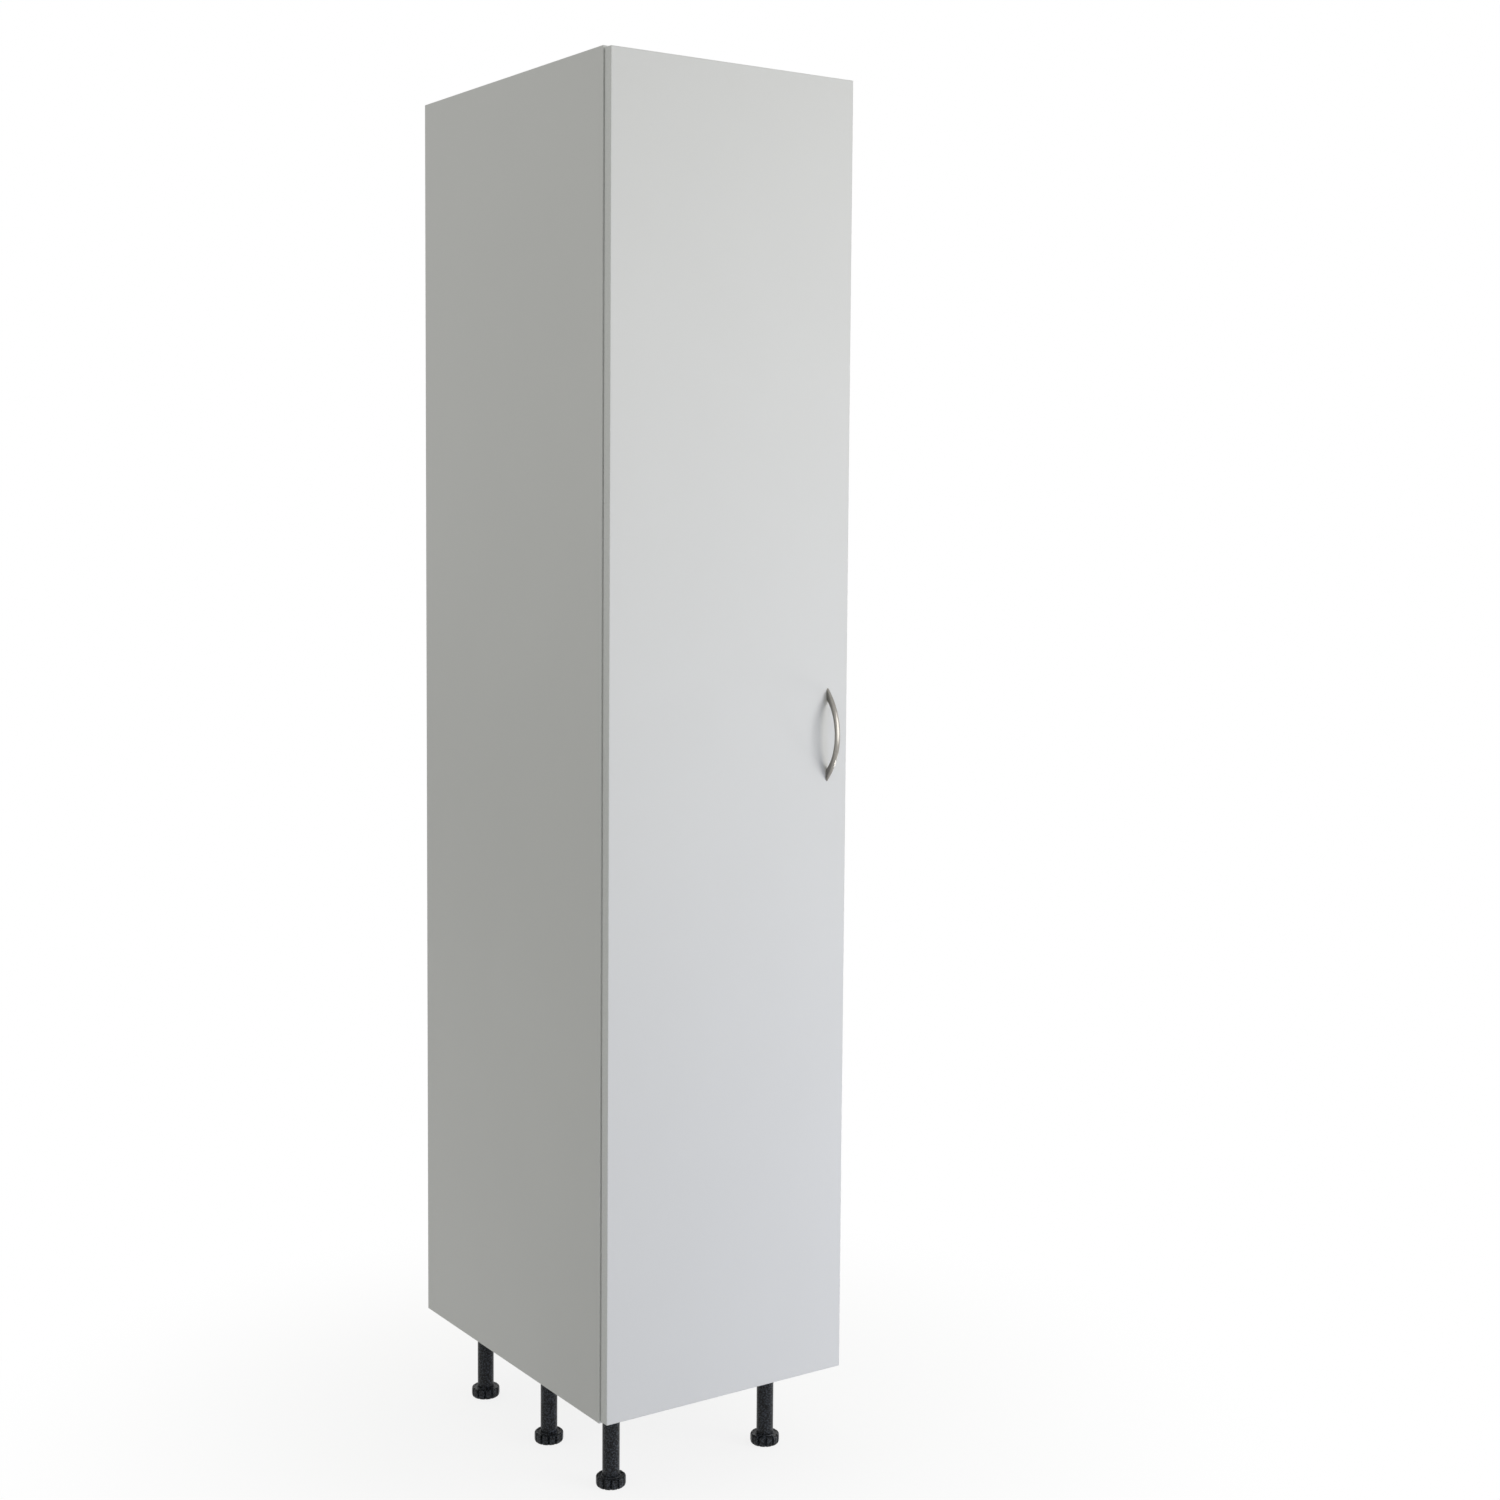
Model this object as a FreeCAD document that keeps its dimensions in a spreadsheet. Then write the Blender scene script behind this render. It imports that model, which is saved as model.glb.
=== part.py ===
"""Tall broom cupboard: one full-height door on concealed hinges, standing on six adjustable legs.

Frame: X to the right, Y to the back, Z up, millimetres. The origin lies on the floor in the
middle of the overall width and depth, so the door faces -Y and hangs on its left edge.
"""
import FreeCAD, Part
import math
import os
import re
import Sketcher

HINGE_COUNT = 5
NOTCH_COUNT = 12

# Driving dimensions in millimetres. Each one becomes a cell of the spreadsheet "Sizes".
SIZES = {
    # carcass boards
    "carcass_width": 450.0,
    "carcass_depth": 600.0,
    "carcass_height": 2100.0,
    "board": 18.0,
    "edge_band": 1.0,
    "upper_space": 360.0,
    "back_thickness": 3.0,
    "groove_depth": 8.0,
    "groove_play": 0.2,
    "rail_width": 96.0,
    # joints between the boards
    "cam_inset_front": 50.0,
    "cam_inset_rear": 110.0,
    "cam_distance": 24.0,
    "cam_radius": 7.5,
    "cam_depth": 13.5,
    "cam_sink": 0.3,
    "cam_drive_length": 8.0,
    "cam_drive_width": 1.4,
    "cam_drive_depth": 1.2,
    "cam_bolt_radius": 2.9,
    "cam_bolt_bore": 3.8,
    "cam_bolt_thread": 11.0,
    "dowel_radius": 4.0,
    "dowel_offset": 32.0,
    "dowel_in_side": 11.0,
    "dowel_in_end": 18.0,
    "dowel_end_play": 1.0,
    "rail_dowel_pitch": 50.0,
    "fit_play": 0.1,
    "screw_tip_play": 0.5,
    # wall fixing
    "wall_hole_pitch": 250.0,
    "wall_hole_radius": 3.0,
    # door
    "door_thickness": 18.0,
    "door_gap": 2.0,
    "reveal_side": 2.0,
    "reveal_end": 3.0,
    "bumper_radius": 4.0,
    "bumper_height": 1.6,
    "bumper_inset": 40.0,
    # concealed hinges
    "hinge_end_distance": 100.0,
    "cup_radius": 17.5,
    "cup_edge": 3.0,
    "cup_bore_depth": 13.0,
    "cup_wall": 0.8,
    "cup_flange": 1.2,
    "cup_flange_half": 31.0,
    "cup_flange_left": 6.0,
    "cup_flange_right": 14.0,
    "cup_screw_pitch": 48.0,
    "cup_screw_offset": 6.0,
    "cup_screw_radius": 1.8,
    "cup_screw_length": 13.0,
    "cup_screw_head": 3.6,
    "cup_lug_inner": 3.5,
    "cup_lug_outer": 8.0,
    "cup_lug_reach": 2.4,
    "pivot_from_edge": 6.2,
    "pivot_from_front": 7.8,
    "pin_radius": 0.9,
    "pin_half": 7.8,
    "pin_play": 0.05,
    "eye_radius": 1.6,
    "neck_thickness": 1.5,
    "neck_half": 3.0,
    "neck_reach": 13.5,
    "arm_wall": 1.5,
    "arm_half": 6.8,
    "arm_height": 9.8,
    "arm_front": 4.0,
    "arm_rear": 62.0,
    "arm_play": 0.3,
    "plate_screw_line": 37.0,
    "plate_screw_pitch": 32.0,
    "plate_screw_radius": 3.1,
    "plate_screw_depth": 11.0,
    "plate_thickness": 2.0,
    "plate_half_width": 8.0,
    "plate_half_height": 26.0,
    "ridge_front": 20.0,
    "ridge_rear": 60.0,
    "arm_screw_line": 50.0,
    "arm_screw_radius": 2.9,
    "arm_screw_depth": 6.0,
    "screw_head": 4.4,
    "screw_head_height": 1.8,
    # handle
    "handle_centres": 128.0,
    "handle_length": 151.0,
    "handle_standoff": 30.0,
    "handle_bar": 5.0,
    "handle_foot": 20.5,
    "handle_width": 9.0,
    "handle_tip": 5.0,
    "handle_inset": 38.0,
    "handle_raise": 5.0,
    "handle_screw_radius": 2.0,
    "handle_screw_grip": 6.0,
    "handle_bore_play": 0.5,
    "handle_head_radius": 4.0,
    "handle_head_height": 2.4,
    # legs
    "leg_height": 150.0,
    "leg_inset_side": 75.0,
    "leg_inset_front": 90.0,
    "leg_inset_middle": 295.0,
    "leg_middle_setback": 30.0,
    "leg_inset_rear": 75.0,
    "socket_flange": 32.0,
    "socket_flange_height": 4.0,
    "socket_sleeve": 17.5,
    "socket_sleeve_height": 30.0,
    "socket_play": 0.2,
    "socket_screw_ring": 24.0,
    "socket_screw_radius": 2.0,
    "socket_screw_depth": 12.0,
    "socket_screw_head": 3.6,
    "tube_radius": 14.0,
    "tube_wall": 2.0,
    "tube_thread_length": 35.0,
    "stem_radius": 5.0,
    "stem_length": 60.0,
    "foot_radius": 24.2,
    "foot_height": 18.0,
    "foot_chamfer": 1.0,
    "foot_shoulder": 3.0,
    "foot_play": 0.3,
    "notch_radius": 3.0,
    "notch_out": 1.5,
}

doc = FreeCAD.newDocument("BroomCupboard")
sheet = doc.addObject("Spreadsheet::Sheet", "Sizes")
for row, (alias, size) in enumerate(SIZES.items(), 1):
    sheet.set(f"A{row}", alias)
    sheet.set(f"B{row}", str(size))
    sheet.setAlias(f"B{row}", alias)
doc.recompute()

# Planes of the cupboard, as formulas of the sheet's cells.
BACK = "((carcass_depth + door_gap + door_thickness + handle_standoff) / 2)"
FRONT = f"({BACK} - carcass_depth)"
LEFT = "(-carcass_width / 2)"
RIGHT = "(carcass_width / 2)"
INNER_LEFT = f"({LEFT} + board)"
INNER_RIGHT = f"({RIGHT} - board)"
BOTTOM = "leg_height"
TOP = "(leg_height + carcass_height)"
FLOOR = f"({BOTTOM} + board)"
CEILING = f"({TOP} - board)"
SHELF_TOP = f"({CEILING} - upper_space)"
SHELF_UNDER = f"({SHELF_TOP} - board)"
BANDED_FRONT = f"({FRONT} + edge_band)"
RAIL_FRONT = f"({BACK} - board)"
BACK_PANEL_FRONT = f"({RAIL_FRONT} - back_thickness)"
DOOR_BACK = f"({FRONT} - door_gap)"
DOOR_FRONT = f"({DOOR_BACK} - door_thickness)"
DOOR_LEFT = f"({LEFT} + reveal_side)"
DOOR_RIGHT = f"({RIGHT} - reveal_side)"
DOOR_BOTTOM = f"({BOTTOM} + reveal_end)"
DOOR_TOP = f"({TOP} - reveal_end)"
PIVOT_X = f"({DOOR_LEFT} + pivot_from_edge)"
PIVOT_Y = f"({DOOR_FRONT} + pivot_from_front)"
CUP_X = f"({DOOR_LEFT} + cup_edge + cup_radius)"
CUP_SCREW_X = f"({CUP_X} + cup_screw_offset)"
PLATE_LINE = f"({FRONT} + plate_screw_line)"
WING_TOP = f"({INNER_LEFT} + plate_thickness)"
ARM_TOP = f"({INNER_LEFT} + arm_height)"
ARM_SCREW_LINE = f"({FRONT} + arm_screw_line)"
RIDGE_TOP = f"({ARM_TOP} - arm_wall - arm_play)"
HANDLE_X = f"({DOOR_RIGHT} - handle_inset)"
HANDLE_Z = f"(({DOOR_BOTTOM} + {DOOR_TOP}) / 2 + handle_raise)"

WORD = re.compile(r"[a-z][a-z0-9_]*")
TURNS = {
    "+X": FreeCAD.Rotation(FreeCAD.Vector(0, 1, 0), 90),
    "-X": FreeCAD.Rotation(FreeCAD.Vector(0, 1, 0), -90),
    "+Y": FreeCAD.Rotation(FreeCAD.Vector(1, 0, 0), -90),
    "-Y": FreeCAD.Rotation(FreeCAD.Vector(1, 0, 0), 90),
    "+Z": FreeCAD.Rotation(),
    "-Z": FreeCAD.Rotation(FreeCAD.Vector(1, 0, 0), 180),
}


def linked(formula):
    """Point every size named in a formula at its cell of the sheet."""
    def cell(word):
        return "Sizes." + word.group() if word.group() in SIZES else word.group()
    return WORD.sub(cell, formula)


def place(feature, at):
    """Tie a feature's place to three formulas."""
    for axis, formula in zip("xyz", at):
        feature.setExpression("Placement.Base." + axis, linked(formula))


def block(name, low, high):
    """Box between two opposite corners."""
    feature = doc.addObject("Part::Box", name)
    for side, start, end in zip(("Length", "Width", "Height"), low, high):
        feature.setExpression(side, linked(f"{end} - ({start})"))
    place(feature, low)
    return feature


def rod(name, at, towards, radius, length):
    """Cylinder that starts at a point and runs along one axis, such as "+X"."""
    feature = doc.addObject("Part::Cylinder", name)
    feature.Placement.Rotation = TURNS[towards]
    feature.setExpression("Radius", linked(radius))
    feature.setExpression("Height", linked(length))
    place(feature, at)
    return feature


def fused(name, pieces):
    """Union of several features."""
    feature = doc.addObject("Part::MultiFuse", name)
    feature.Shapes = pieces
    return feature


def shared(name, pieces):
    """What several features have in common."""
    feature = doc.addObject("Part::MultiCommon", name)
    feature.Shapes = pieces
    return feature


def cut(name, base, tools):
    """Base feature less a list of tools."""
    feature = doc.addObject("Part::Cut", name)
    feature.Base = base
    feature.Tool = tools[0] if len(tools) == 1 else fused(name + "_tools", tools)
    return feature


def group(name, pieces):
    """Separate solids of one kind in one sub-part."""
    feature = doc.addObject("Part::Compound", name)
    feature.Links = pieces
    return feature


def origin_plane(body, role):
    """Origin plane of a body, found by its role."""
    return next(item for item in body.Origin.OriginFeatures if item.Role == role)


def outline_sketch(body, name, role, corners):
    """Closed outline whose corners are tied to pairs of formulas."""
    sketch = body.newObject("Sketcher::SketchObject", name)
    sketch.AttachmentSupport = [(origin_plane(body, role), "")]
    sketch.MapMode = "FlatFace"
    count = len(corners)
    angles = [2 * math.pi * index / count for index in range(count)]
    starts = [FreeCAD.Vector(2 + math.cos(angle), 2 + math.sin(angle), 0) for angle in angles]
    for index in range(count):
        sketch.addGeometry(Part.LineSegment(starts[index], starts[(index + 1) % count]), False)
    for index in range(count):
        sketch.addConstraint(Sketcher.Constraint("Coincident", index, 2, (index + 1) % count, 1))
    for index, (across, up) in enumerate(corners):
        start = starts[index]
        for kind, formula, first in (("DistanceX", across, start.x), ("DistanceY", up, start.y)):
            number = sketch.addConstraint(Sketcher.Constraint(kind, index, 1, first))
            sketch.setExpression(f"Constraints[{number}]", linked(formula))
    return sketch


def circle_sketch(body, name, role, centre, radius):
    """Circle whose centre and radius are tied to formulas."""
    sketch = body.newObject("Sketcher::SketchObject", name)
    sketch.AttachmentSupport = [(origin_plane(body, role), "")]
    sketch.MapMode = "FlatFace"
    sketch.addGeometry(Part.Circle(FreeCAD.Vector(1, 1, 0), FreeCAD.Vector(0, 0, 1), 1), False)
    across = sketch.addConstraint(Sketcher.Constraint("DistanceX", 0, 3, 1.0))
    up = sketch.addConstraint(Sketcher.Constraint("DistanceY", 0, 3, 1.0))
    size = sketch.addConstraint(Sketcher.Constraint("Radius", 0, 1.0))
    for number, formula in ((across, centre[0]), (up, centre[1]), (size, radius)):
        sketch.setExpression(f"Constraints[{number}]", linked(formula))
    return sketch


def turned(label, corners):
    """Body turned about its own Z axis from a half outline of (radius, height) corners."""
    body = doc.addObject("PartDesign::Body", label)
    sketch = outline_sketch(body, label + "_outline", "XZ_Plane", corners)
    turn = body.newObject("PartDesign::Revolution", label + "_turn")
    turn.Profile = sketch
    turn.ReferenceAxis = (sketch, ["V_Axis"])
    turn.Angle = 360
    return body


def screw(name, at, towards, radius, length, head_radius="screw_head", head_height="screw_head_height"):
    """Screw that starts under its head and runs along one axis, with a flat round head."""
    opposite = ("-" if towards[0] == "+" else "+") + towards[1]
    shank = rod(name + "_shank", at, towards, radius, length)
    head = rod(name + "_head", at, opposite, head_radius, head_height)
    return fused(name, [shank, head])


# Tools that bore each board, filled in by the fittings below.
BOARDS = ("side_panel_left", "side_panel_right", "top_panel", "bottom_panel", "fixed_shelf",
          "back_panel", "rear_rail_top", "rear_rail_middle", "rear_rail_bottom", "door_panel")
bores = {board: [] for board in BOARDS}
LEVELS = (("low", "-"), ("high", "+"))
ENDS = {
    "left": (INNER_LEFT, "+X", "-X"),
    "right": (INNER_RIGHT, "-X", "+X"),
}


def dowel(name, side, board, y, z):
    """Wooden dowel across a board's end, with its bores in the side panel and in the board."""
    face, inward, outward = ENDS[side]
    bore = "dowel_radius + fit_play"
    bores["side_panel_" + side].append(
        rod(name + "_side_bore", (face, y, z), outward, bore, "dowel_in_side + dowel_end_play"))
    bores[board].append(
        rod(name + "_end_bore", (face, y, z), inward, bore, "dowel_in_end + dowel_end_play"))
    return rod(name, (f"{face} {outward[0]} dowel_in_side", y, z), inward,
               "dowel_radius", "dowel_in_side + dowel_in_end")


def cam_pair(name, side, board, y, z, face_z, into):
    """Cam lock in a board's face and the bolt that it pulls, with their bores."""
    face, inward, outward = ENDS[side]
    cam_x = f"({face} {inward[0]} cam_distance)"
    sink = f"({face_z} {into[0]} cam_sink)"
    bores["side_panel_" + side].append(
        rod(name + "_thread_bore", (face, y, z), outward, "cam_bolt_radius + fit_play",
            "cam_bolt_thread + dowel_end_play"))
    bores[board].append(rod(name + "_bolt_bore", (face, y, z), inward, "cam_bolt_bore", "cam_distance"))
    bores[board].append(rod(name + "_cam_bore", (cam_x, y, face_z), into, "cam_radius", "cam_depth"))
    bolt = rod(name + "_bolt", (f"{face} {outward[0]} cam_bolt_thread", y, z), inward,
               "cam_bolt_radius", "cam_bolt_thread + cam_distance")
    drum = rod(name + "_drum", (cam_x, y, sink), into,
               "cam_radius - fit_play", "cam_depth - cam_sink - fit_play")
    mouth = rod(name + "_mouth", (face, y, z), inward, "cam_bolt_bore", "cam_distance")
    throat = rod(name + "_throat", (f"{cam_x} {outward[0]} cam_bolt_bore", y, z), inward,
                 "cam_bolt_bore", "2 * cam_bolt_bore")
    ends_z = (sink, f"{sink} {into[0]} cam_drive_depth")
    low_z, high_z = ends_z if into == "+Z" else ends_z[::-1]
    drive = block(name + "_drive", (f"{cam_x} - cam_drive_length / 2", f"{y} - cam_drive_width / 2", low_z),
                  (f"{cam_x} + cam_drive_length / 2", f"{y} + cam_drive_width / 2", high_z))
    return bolt, cut(name + "_lock", drum, [mouth, throat, drive])


# Board ends: where each cross board's middle lies and which face its cams are let into.
CROSS_BOARDS = {
    "top_panel": (CEILING, TOP, TOP, "-Z"),
    "bottom_panel": (BOTTOM, FLOOR, BOTTOM, "+Z"),
    "fixed_shelf": (SHELF_UNDER, SHELF_TOP, SHELF_UNDER, "+Z"),
}
RAILS = {
    "rear_rail_top": f"({CEILING} - rail_width)",
    "rear_rail_middle": "(leg_height + (carcass_height - rail_width) / 2)",
    "rear_rail_bottom": FLOOR,
}
LINES = {
    "front": f"({FRONT} + cam_inset_front)",
    "rear": f"({BACK} - cam_inset_rear)",
}


def make_joints():
    """Dowels and cam fittings of the cross boards and the rear rails."""
    dowels, bolts, locks = [], [], []
    for board, (under, _, cam_face, into) in CROSS_BOARDS.items():
        middle = f"({under} + board / 2)"
        for side in ENDS:
            for line, y in LINES.items():
                name = f"{board}_{side}_{line}"
                bolt, lock = cam_pair(name, side, board, y, middle, cam_face, into)
                bolts.append(bolt)
                locks.append(lock)
            for line, shift in (("front", "+"), ("rear", "-")):
                dowels.append(dowel(f"{board}_{side}_dowel_{line}", side, board,
                                    f"({LINES[line]} {shift} dowel_offset)", middle))
    for board, low in RAILS.items():
        for side in ENDS:
            for level, shift in LEVELS:
                z = f"({low} + rail_width / 2 {shift} rail_dowel_pitch / 2)"
                dowels.append(dowel(f"{board}_{side}_dowel_{level}", side, board,
                                    f"({RAIL_FRONT} + board / 2)", z))
    return {"wooden_dowels": group("wooden_dowels", dowels),
            "cam_bolts": group("cam_bolts", bolts),
            "cam_locks": group("cam_locks", locks)}


def hinge_height(index):
    """Height of a hinge's middle, counted from the lowest."""
    first = f"({DOOR_BOTTOM} + hinge_end_distance)"
    run = f"({DOOR_TOP} - {DOOR_BOTTOM} - 2 * hinge_end_distance)"
    return f"({first} + {run} * {index} / {HINGE_COUNT - 1})"


def hinge_plate(number, z):
    """Mounting plate: two wings on the side panel and a raised ridge that carries the arm."""
    name = f"hinge_plate_{number}"
    half = "(arm_half - arm_wall - arm_play)"
    bore = "plate_screw_radius + fit_play"
    wings = block(name + "_wings",
                  (INNER_LEFT, f"{PLATE_LINE} - plate_half_width", f"{z} - plate_half_height"),
                  (WING_TOP, f"{PLATE_LINE} + plate_half_width", f"{z} + plate_half_height"))
    ridge = block(name + "_ridge",
                  (INNER_LEFT, f"({FRONT} + ridge_front)", f"({z} - {half})"),
                  (RIDGE_TOP, f"({FRONT} + ridge_rear)", f"({z} + {half})"))
    tools = [rod(name + "_arm_bore", (RIDGE_TOP, ARM_SCREW_LINE, z), "-X",
                 "arm_screw_radius + fit_play", "arm_screw_depth + screw_tip_play")]
    for level, shift in LEVELS:
        at = (INNER_LEFT, PLATE_LINE, f"({z} {shift} plate_screw_pitch / 2)")
        tools.append(rod(f"{name}_bore_{level}", at, "+X", bore, "plate_thickness"))
        bores["side_panel_left"].append(
            rod(f"{name}_pilot_{level}", at, "-X", bore, "plate_screw_depth + screw_tip_play"))
    return cut(name, fused(name + "_body", [wings, ridge]), tools)


def plate_screws(number, z):
    """The two screws that hold a mounting plate."""
    return [screw(f"plate_screw_{number}_{level}",
                  (WING_TOP, PLATE_LINE, f"({z} {shift} plate_screw_pitch / 2)"), "-X",
                  "plate_screw_radius", "plate_thickness + plate_screw_depth")
            for level, shift in LEVELS]


def hinge_arm(number, z):
    """Arm over the plate's ridge, with a goose neck that reaches round the door's edge to the cup's pin."""
    name = f"hinge_arm_{number}"
    low_y = f"({PIVOT_Y} - eye_radius)"
    reach_x = f"({PIVOT_X} + neck_reach)"
    riser_x = f"({reach_x} - neck_thickness)"
    front_y = f"({FRONT} + arm_front)"
    rear_y = f"({FRONT} + arm_rear)"
    neck_low, neck_high = f"({z} - neck_half)", f"({z} + neck_half)"
    arm_low, arm_high = f"({z} - arm_half)", f"({z} + arm_half)"
    wall_x = f"({WING_TOP} + arm_play)"
    pieces = [
        rod(name + "_eye", (PIVOT_X, PIVOT_Y, neck_low), "+Z", "eye_radius", "2 * neck_half"),
        block(name + "_neck", (PIVOT_X, low_y, neck_low),
              (reach_x, f"({low_y} + neck_thickness)", neck_high)),
        block(name + "_riser", (riser_x, low_y, neck_low), (reach_x, f"({front_y} + arm_wall)", neck_high)),
        block(name + "_nose", (wall_x, front_y, arm_low),
              (ARM_TOP, f"({front_y} + arm_wall)", arm_high)),
        block(name + "_roof", (f"({ARM_TOP} - arm_wall)", front_y, arm_low), (ARM_TOP, rear_y, arm_high)),
        block(name + "_wall_low", (wall_x, front_y, arm_low),
              (ARM_TOP, rear_y, f"({arm_low} + arm_wall)")),
        block(name + "_wall_high", (wall_x, front_y, f"({arm_high} - arm_wall)"),
              (ARM_TOP, rear_y, arm_high)),
    ]
    tools = [
        rod(name + "_pin_bore", (PIVOT_X, PIVOT_Y, neck_low), "+Z",
            "pin_radius + pin_play", "2 * neck_half"),
        rod(name + "_screw_bore", (ARM_TOP, ARM_SCREW_LINE, z), "-X",
            "arm_screw_radius + fit_play", "arm_wall"),
    ]
    return cut(name, fused(name + "_body", pieces), tools)


def arm_screw(number, z):
    """Screw that clamps an arm to its plate."""
    return screw(f"arm_screw_{number}", (ARM_TOP, ARM_SCREW_LINE, z), "-X",
                 "arm_screw_radius", "arm_wall + arm_play + arm_screw_depth")


def pin_lug(name, z, low, high, limits):
    """Lug inside a cup that holds one end of its pin, between two heights."""
    outer, height = limits
    lug = block(name + "_blank", (f"({CUP_X} - {outer})", f"({DOOR_BACK} - {height})", f"({z} {low})"),
                (f"({PIVOT_X} + cup_lug_reach)", f"({PIVOT_Y} + cup_lug_reach)", f"({z} {high})"))
    limit = rod(name + "_limit", (CUP_X, DOOR_BACK, z), "-Y", outer, height)
    return shared(name, [lug, limit])


def hinge_cup(number, z):
    """Cup pressed into the door's back, with its flange and the two lugs that hold the pin."""
    name = f"hinge_cup_{number}"
    outer = "(cup_radius - fit_play)"
    inner = f"({outer} - cup_wall)"
    height = "(cup_bore_depth - fit_play)"
    bore = "cup_screw_radius + fit_play"
    flange_top = f"({DOOR_BACK} + cup_flange)"
    drum = rod(name + "_drum", (CUP_X, DOOR_BACK, z), "-Y", outer, height)
    cavity = rod(name + "_cavity", (CUP_X, flange_top, z), "-Y", inner, f"{height} - cup_wall + cup_flange")
    flange = block(name + "_flange",
                   (f"({CUP_X} - cup_flange_left)", DOOR_BACK, f"({z} - cup_flange_half)"),
                   (f"({CUP_X} + cup_flange_right)", flange_top, f"({z} + cup_flange_half)"))
    shell = cut(name + "_shell", fused(name + "_blank", [drum, flange]), [cavity])
    lugs = [
        pin_lug(name + "_lug_low", z, "- cup_lug_outer", "- cup_lug_inner", (outer, height)),
        pin_lug(name + "_lug_high", z, "+ cup_lug_inner", "+ cup_lug_outer", (outer, height)),
    ]
    tools = [rod(name + "_pin_bore", (PIVOT_X, PIVOT_Y, f"({z} - pin_half)"), "+Z",
                 "pin_radius + pin_play", "2 * pin_half")]
    for level, shift in LEVELS:
        at = (CUP_SCREW_X, DOOR_BACK, f"({z} {shift} cup_screw_pitch / 2)")
        tools.append(rod(f"{name}_screw_bore_{level}", at, "+Y", bore, "cup_flange"))
        bores["door_panel"].append(rod(f"{name}_pilot_{level}", at, "-Y", bore, "cup_screw_length"))
    bores["door_panel"].append(
        rod(name + "_door_bore", (CUP_X, DOOR_BACK, z), "-Y", "cup_radius", "cup_bore_depth"))
    return cut(name, fused(name + "_body", [shell] + lugs), tools)


def cup_screws(number, z):
    """The two screws that hold a cup's flange to the door."""
    return [screw(f"cup_screw_{number}_{level}",
                  (CUP_SCREW_X, f"({DOOR_BACK} + cup_flange)", f"({z} {shift} cup_screw_pitch / 2)"),
                  "-Y", "cup_screw_radius", "cup_screw_length", "cup_screw_head")
            for level, shift in LEVELS]


def make_hinges():
    """Concealed hinges down the left edge, each a plate, an arm, a cup and a pin."""
    parts, plate_fixings, arm_fixings, cup_fixings, pins = {}, [], [], [], []
    for number in range(1, HINGE_COUNT + 1):
        z = hinge_height(number - 1)
        parts[f"hinge_plate_{number}"] = hinge_plate(number, z)
        parts[f"hinge_arm_{number}"] = hinge_arm(number, z)
        parts[f"hinge_cup_{number}"] = hinge_cup(number, z)
        plate_fixings += plate_screws(number, z)
        arm_fixings.append(arm_screw(number, z))
        cup_fixings += cup_screws(number, z)
        pins.append(rod(f"hinge_pin_{number}", (PIVOT_X, PIVOT_Y, f"({z} - pin_half)"), "+Z",
                        "pin_radius", "2 * pin_half"))
    parts["hinge_plate_screws"] = group("hinge_plate_screws", plate_fixings)
    parts["hinge_arm_screws"] = group("hinge_arm_screws", arm_fixings)
    parts["hinge_cup_screws"] = group("hinge_cup_screws", cup_fixings)
    parts["hinge_pins"] = group("hinge_pins", pins)
    return parts


def bow_radius(half_span, rise):
    """Radius of the arc over a chord, from half the chord and its rise."""
    return f"((({half_span}) ^ 2 + ({rise}) ^ 2) / (2 * ({rise})))"


def make_handle():
    """Bow handle: an arched bar that tapers to its tips, with a foot for a screw at each end."""
    half = "(handle_length / 2)"
    inner_half = f"({half} - handle_foot)"
    inner_rise = "(handle_standoff - handle_bar)"
    outer_radius = bow_radius(half, "handle_standoff")
    inner_radius = bow_radius(inner_half, inner_rise)
    plan_radius = bow_radius(half, "(handle_width - handle_tip) / 2")
    low_x, high_x = f"({HANDLE_X} - handle_width / 2)", f"({HANDLE_X} + handle_width / 2)"
    outside_y = f"({DOOR_FRONT} - handle_standoff)"
    blank = block("handle_blank", (low_x, outside_y, f"({HANDLE_Z} - {half})"),
                  (high_x, DOOR_FRONT, f"({HANDLE_Z} + {half})"))
    arch = rod("handle_arch", (low_x, f"({outside_y} + {outer_radius})", HANDLE_Z), "+X",
               outer_radius, "handle_width")
    plan_left = rod("handle_plan_left", (f"({high_x} - {plan_radius})", outside_y, HANDLE_Z), "+Y",
                    plan_radius, "handle_standoff")
    plan_right = rod("handle_plan_right", (f"({low_x} + {plan_radius})", outside_y, HANDLE_Z), "+Y",
                     plan_radius, "handle_standoff")
    bow = shared("handle_bow", [blank, arch, plan_left, plan_right])
    tools = [rod("handle_grip", (low_x, f"({DOOR_FRONT} - {inner_rise} + {inner_radius})", HANDLE_Z), "+X",
                 inner_radius, "handle_width")]
    screws = []
    for level, shift in LEVELS:
        z = f"({HANDLE_Z} {shift} handle_centres / 2)"
        tools.append(rod("handle_thread_" + level, (HANDLE_X, DOOR_FRONT, z), "-Y",
                         "handle_screw_radius + fit_play", "handle_screw_grip + screw_tip_play"))
        bores["door_panel"].append(rod("handle_bore_" + level, (HANDLE_X, DOOR_FRONT, z), "+Y",
                                       "handle_screw_radius + handle_bore_play", "door_thickness"))
        screws.append(screw("handle_screw_" + level, (HANDLE_X, DOOR_BACK, z), "-Y",
                            "handle_screw_radius", "door_thickness + handle_screw_grip",
                            "handle_head_radius", "handle_head_height"))
    return {"bow_handle": cut("bow_handle", bow, tools), "handle_screws": group("handle_screws", screws)}


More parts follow.
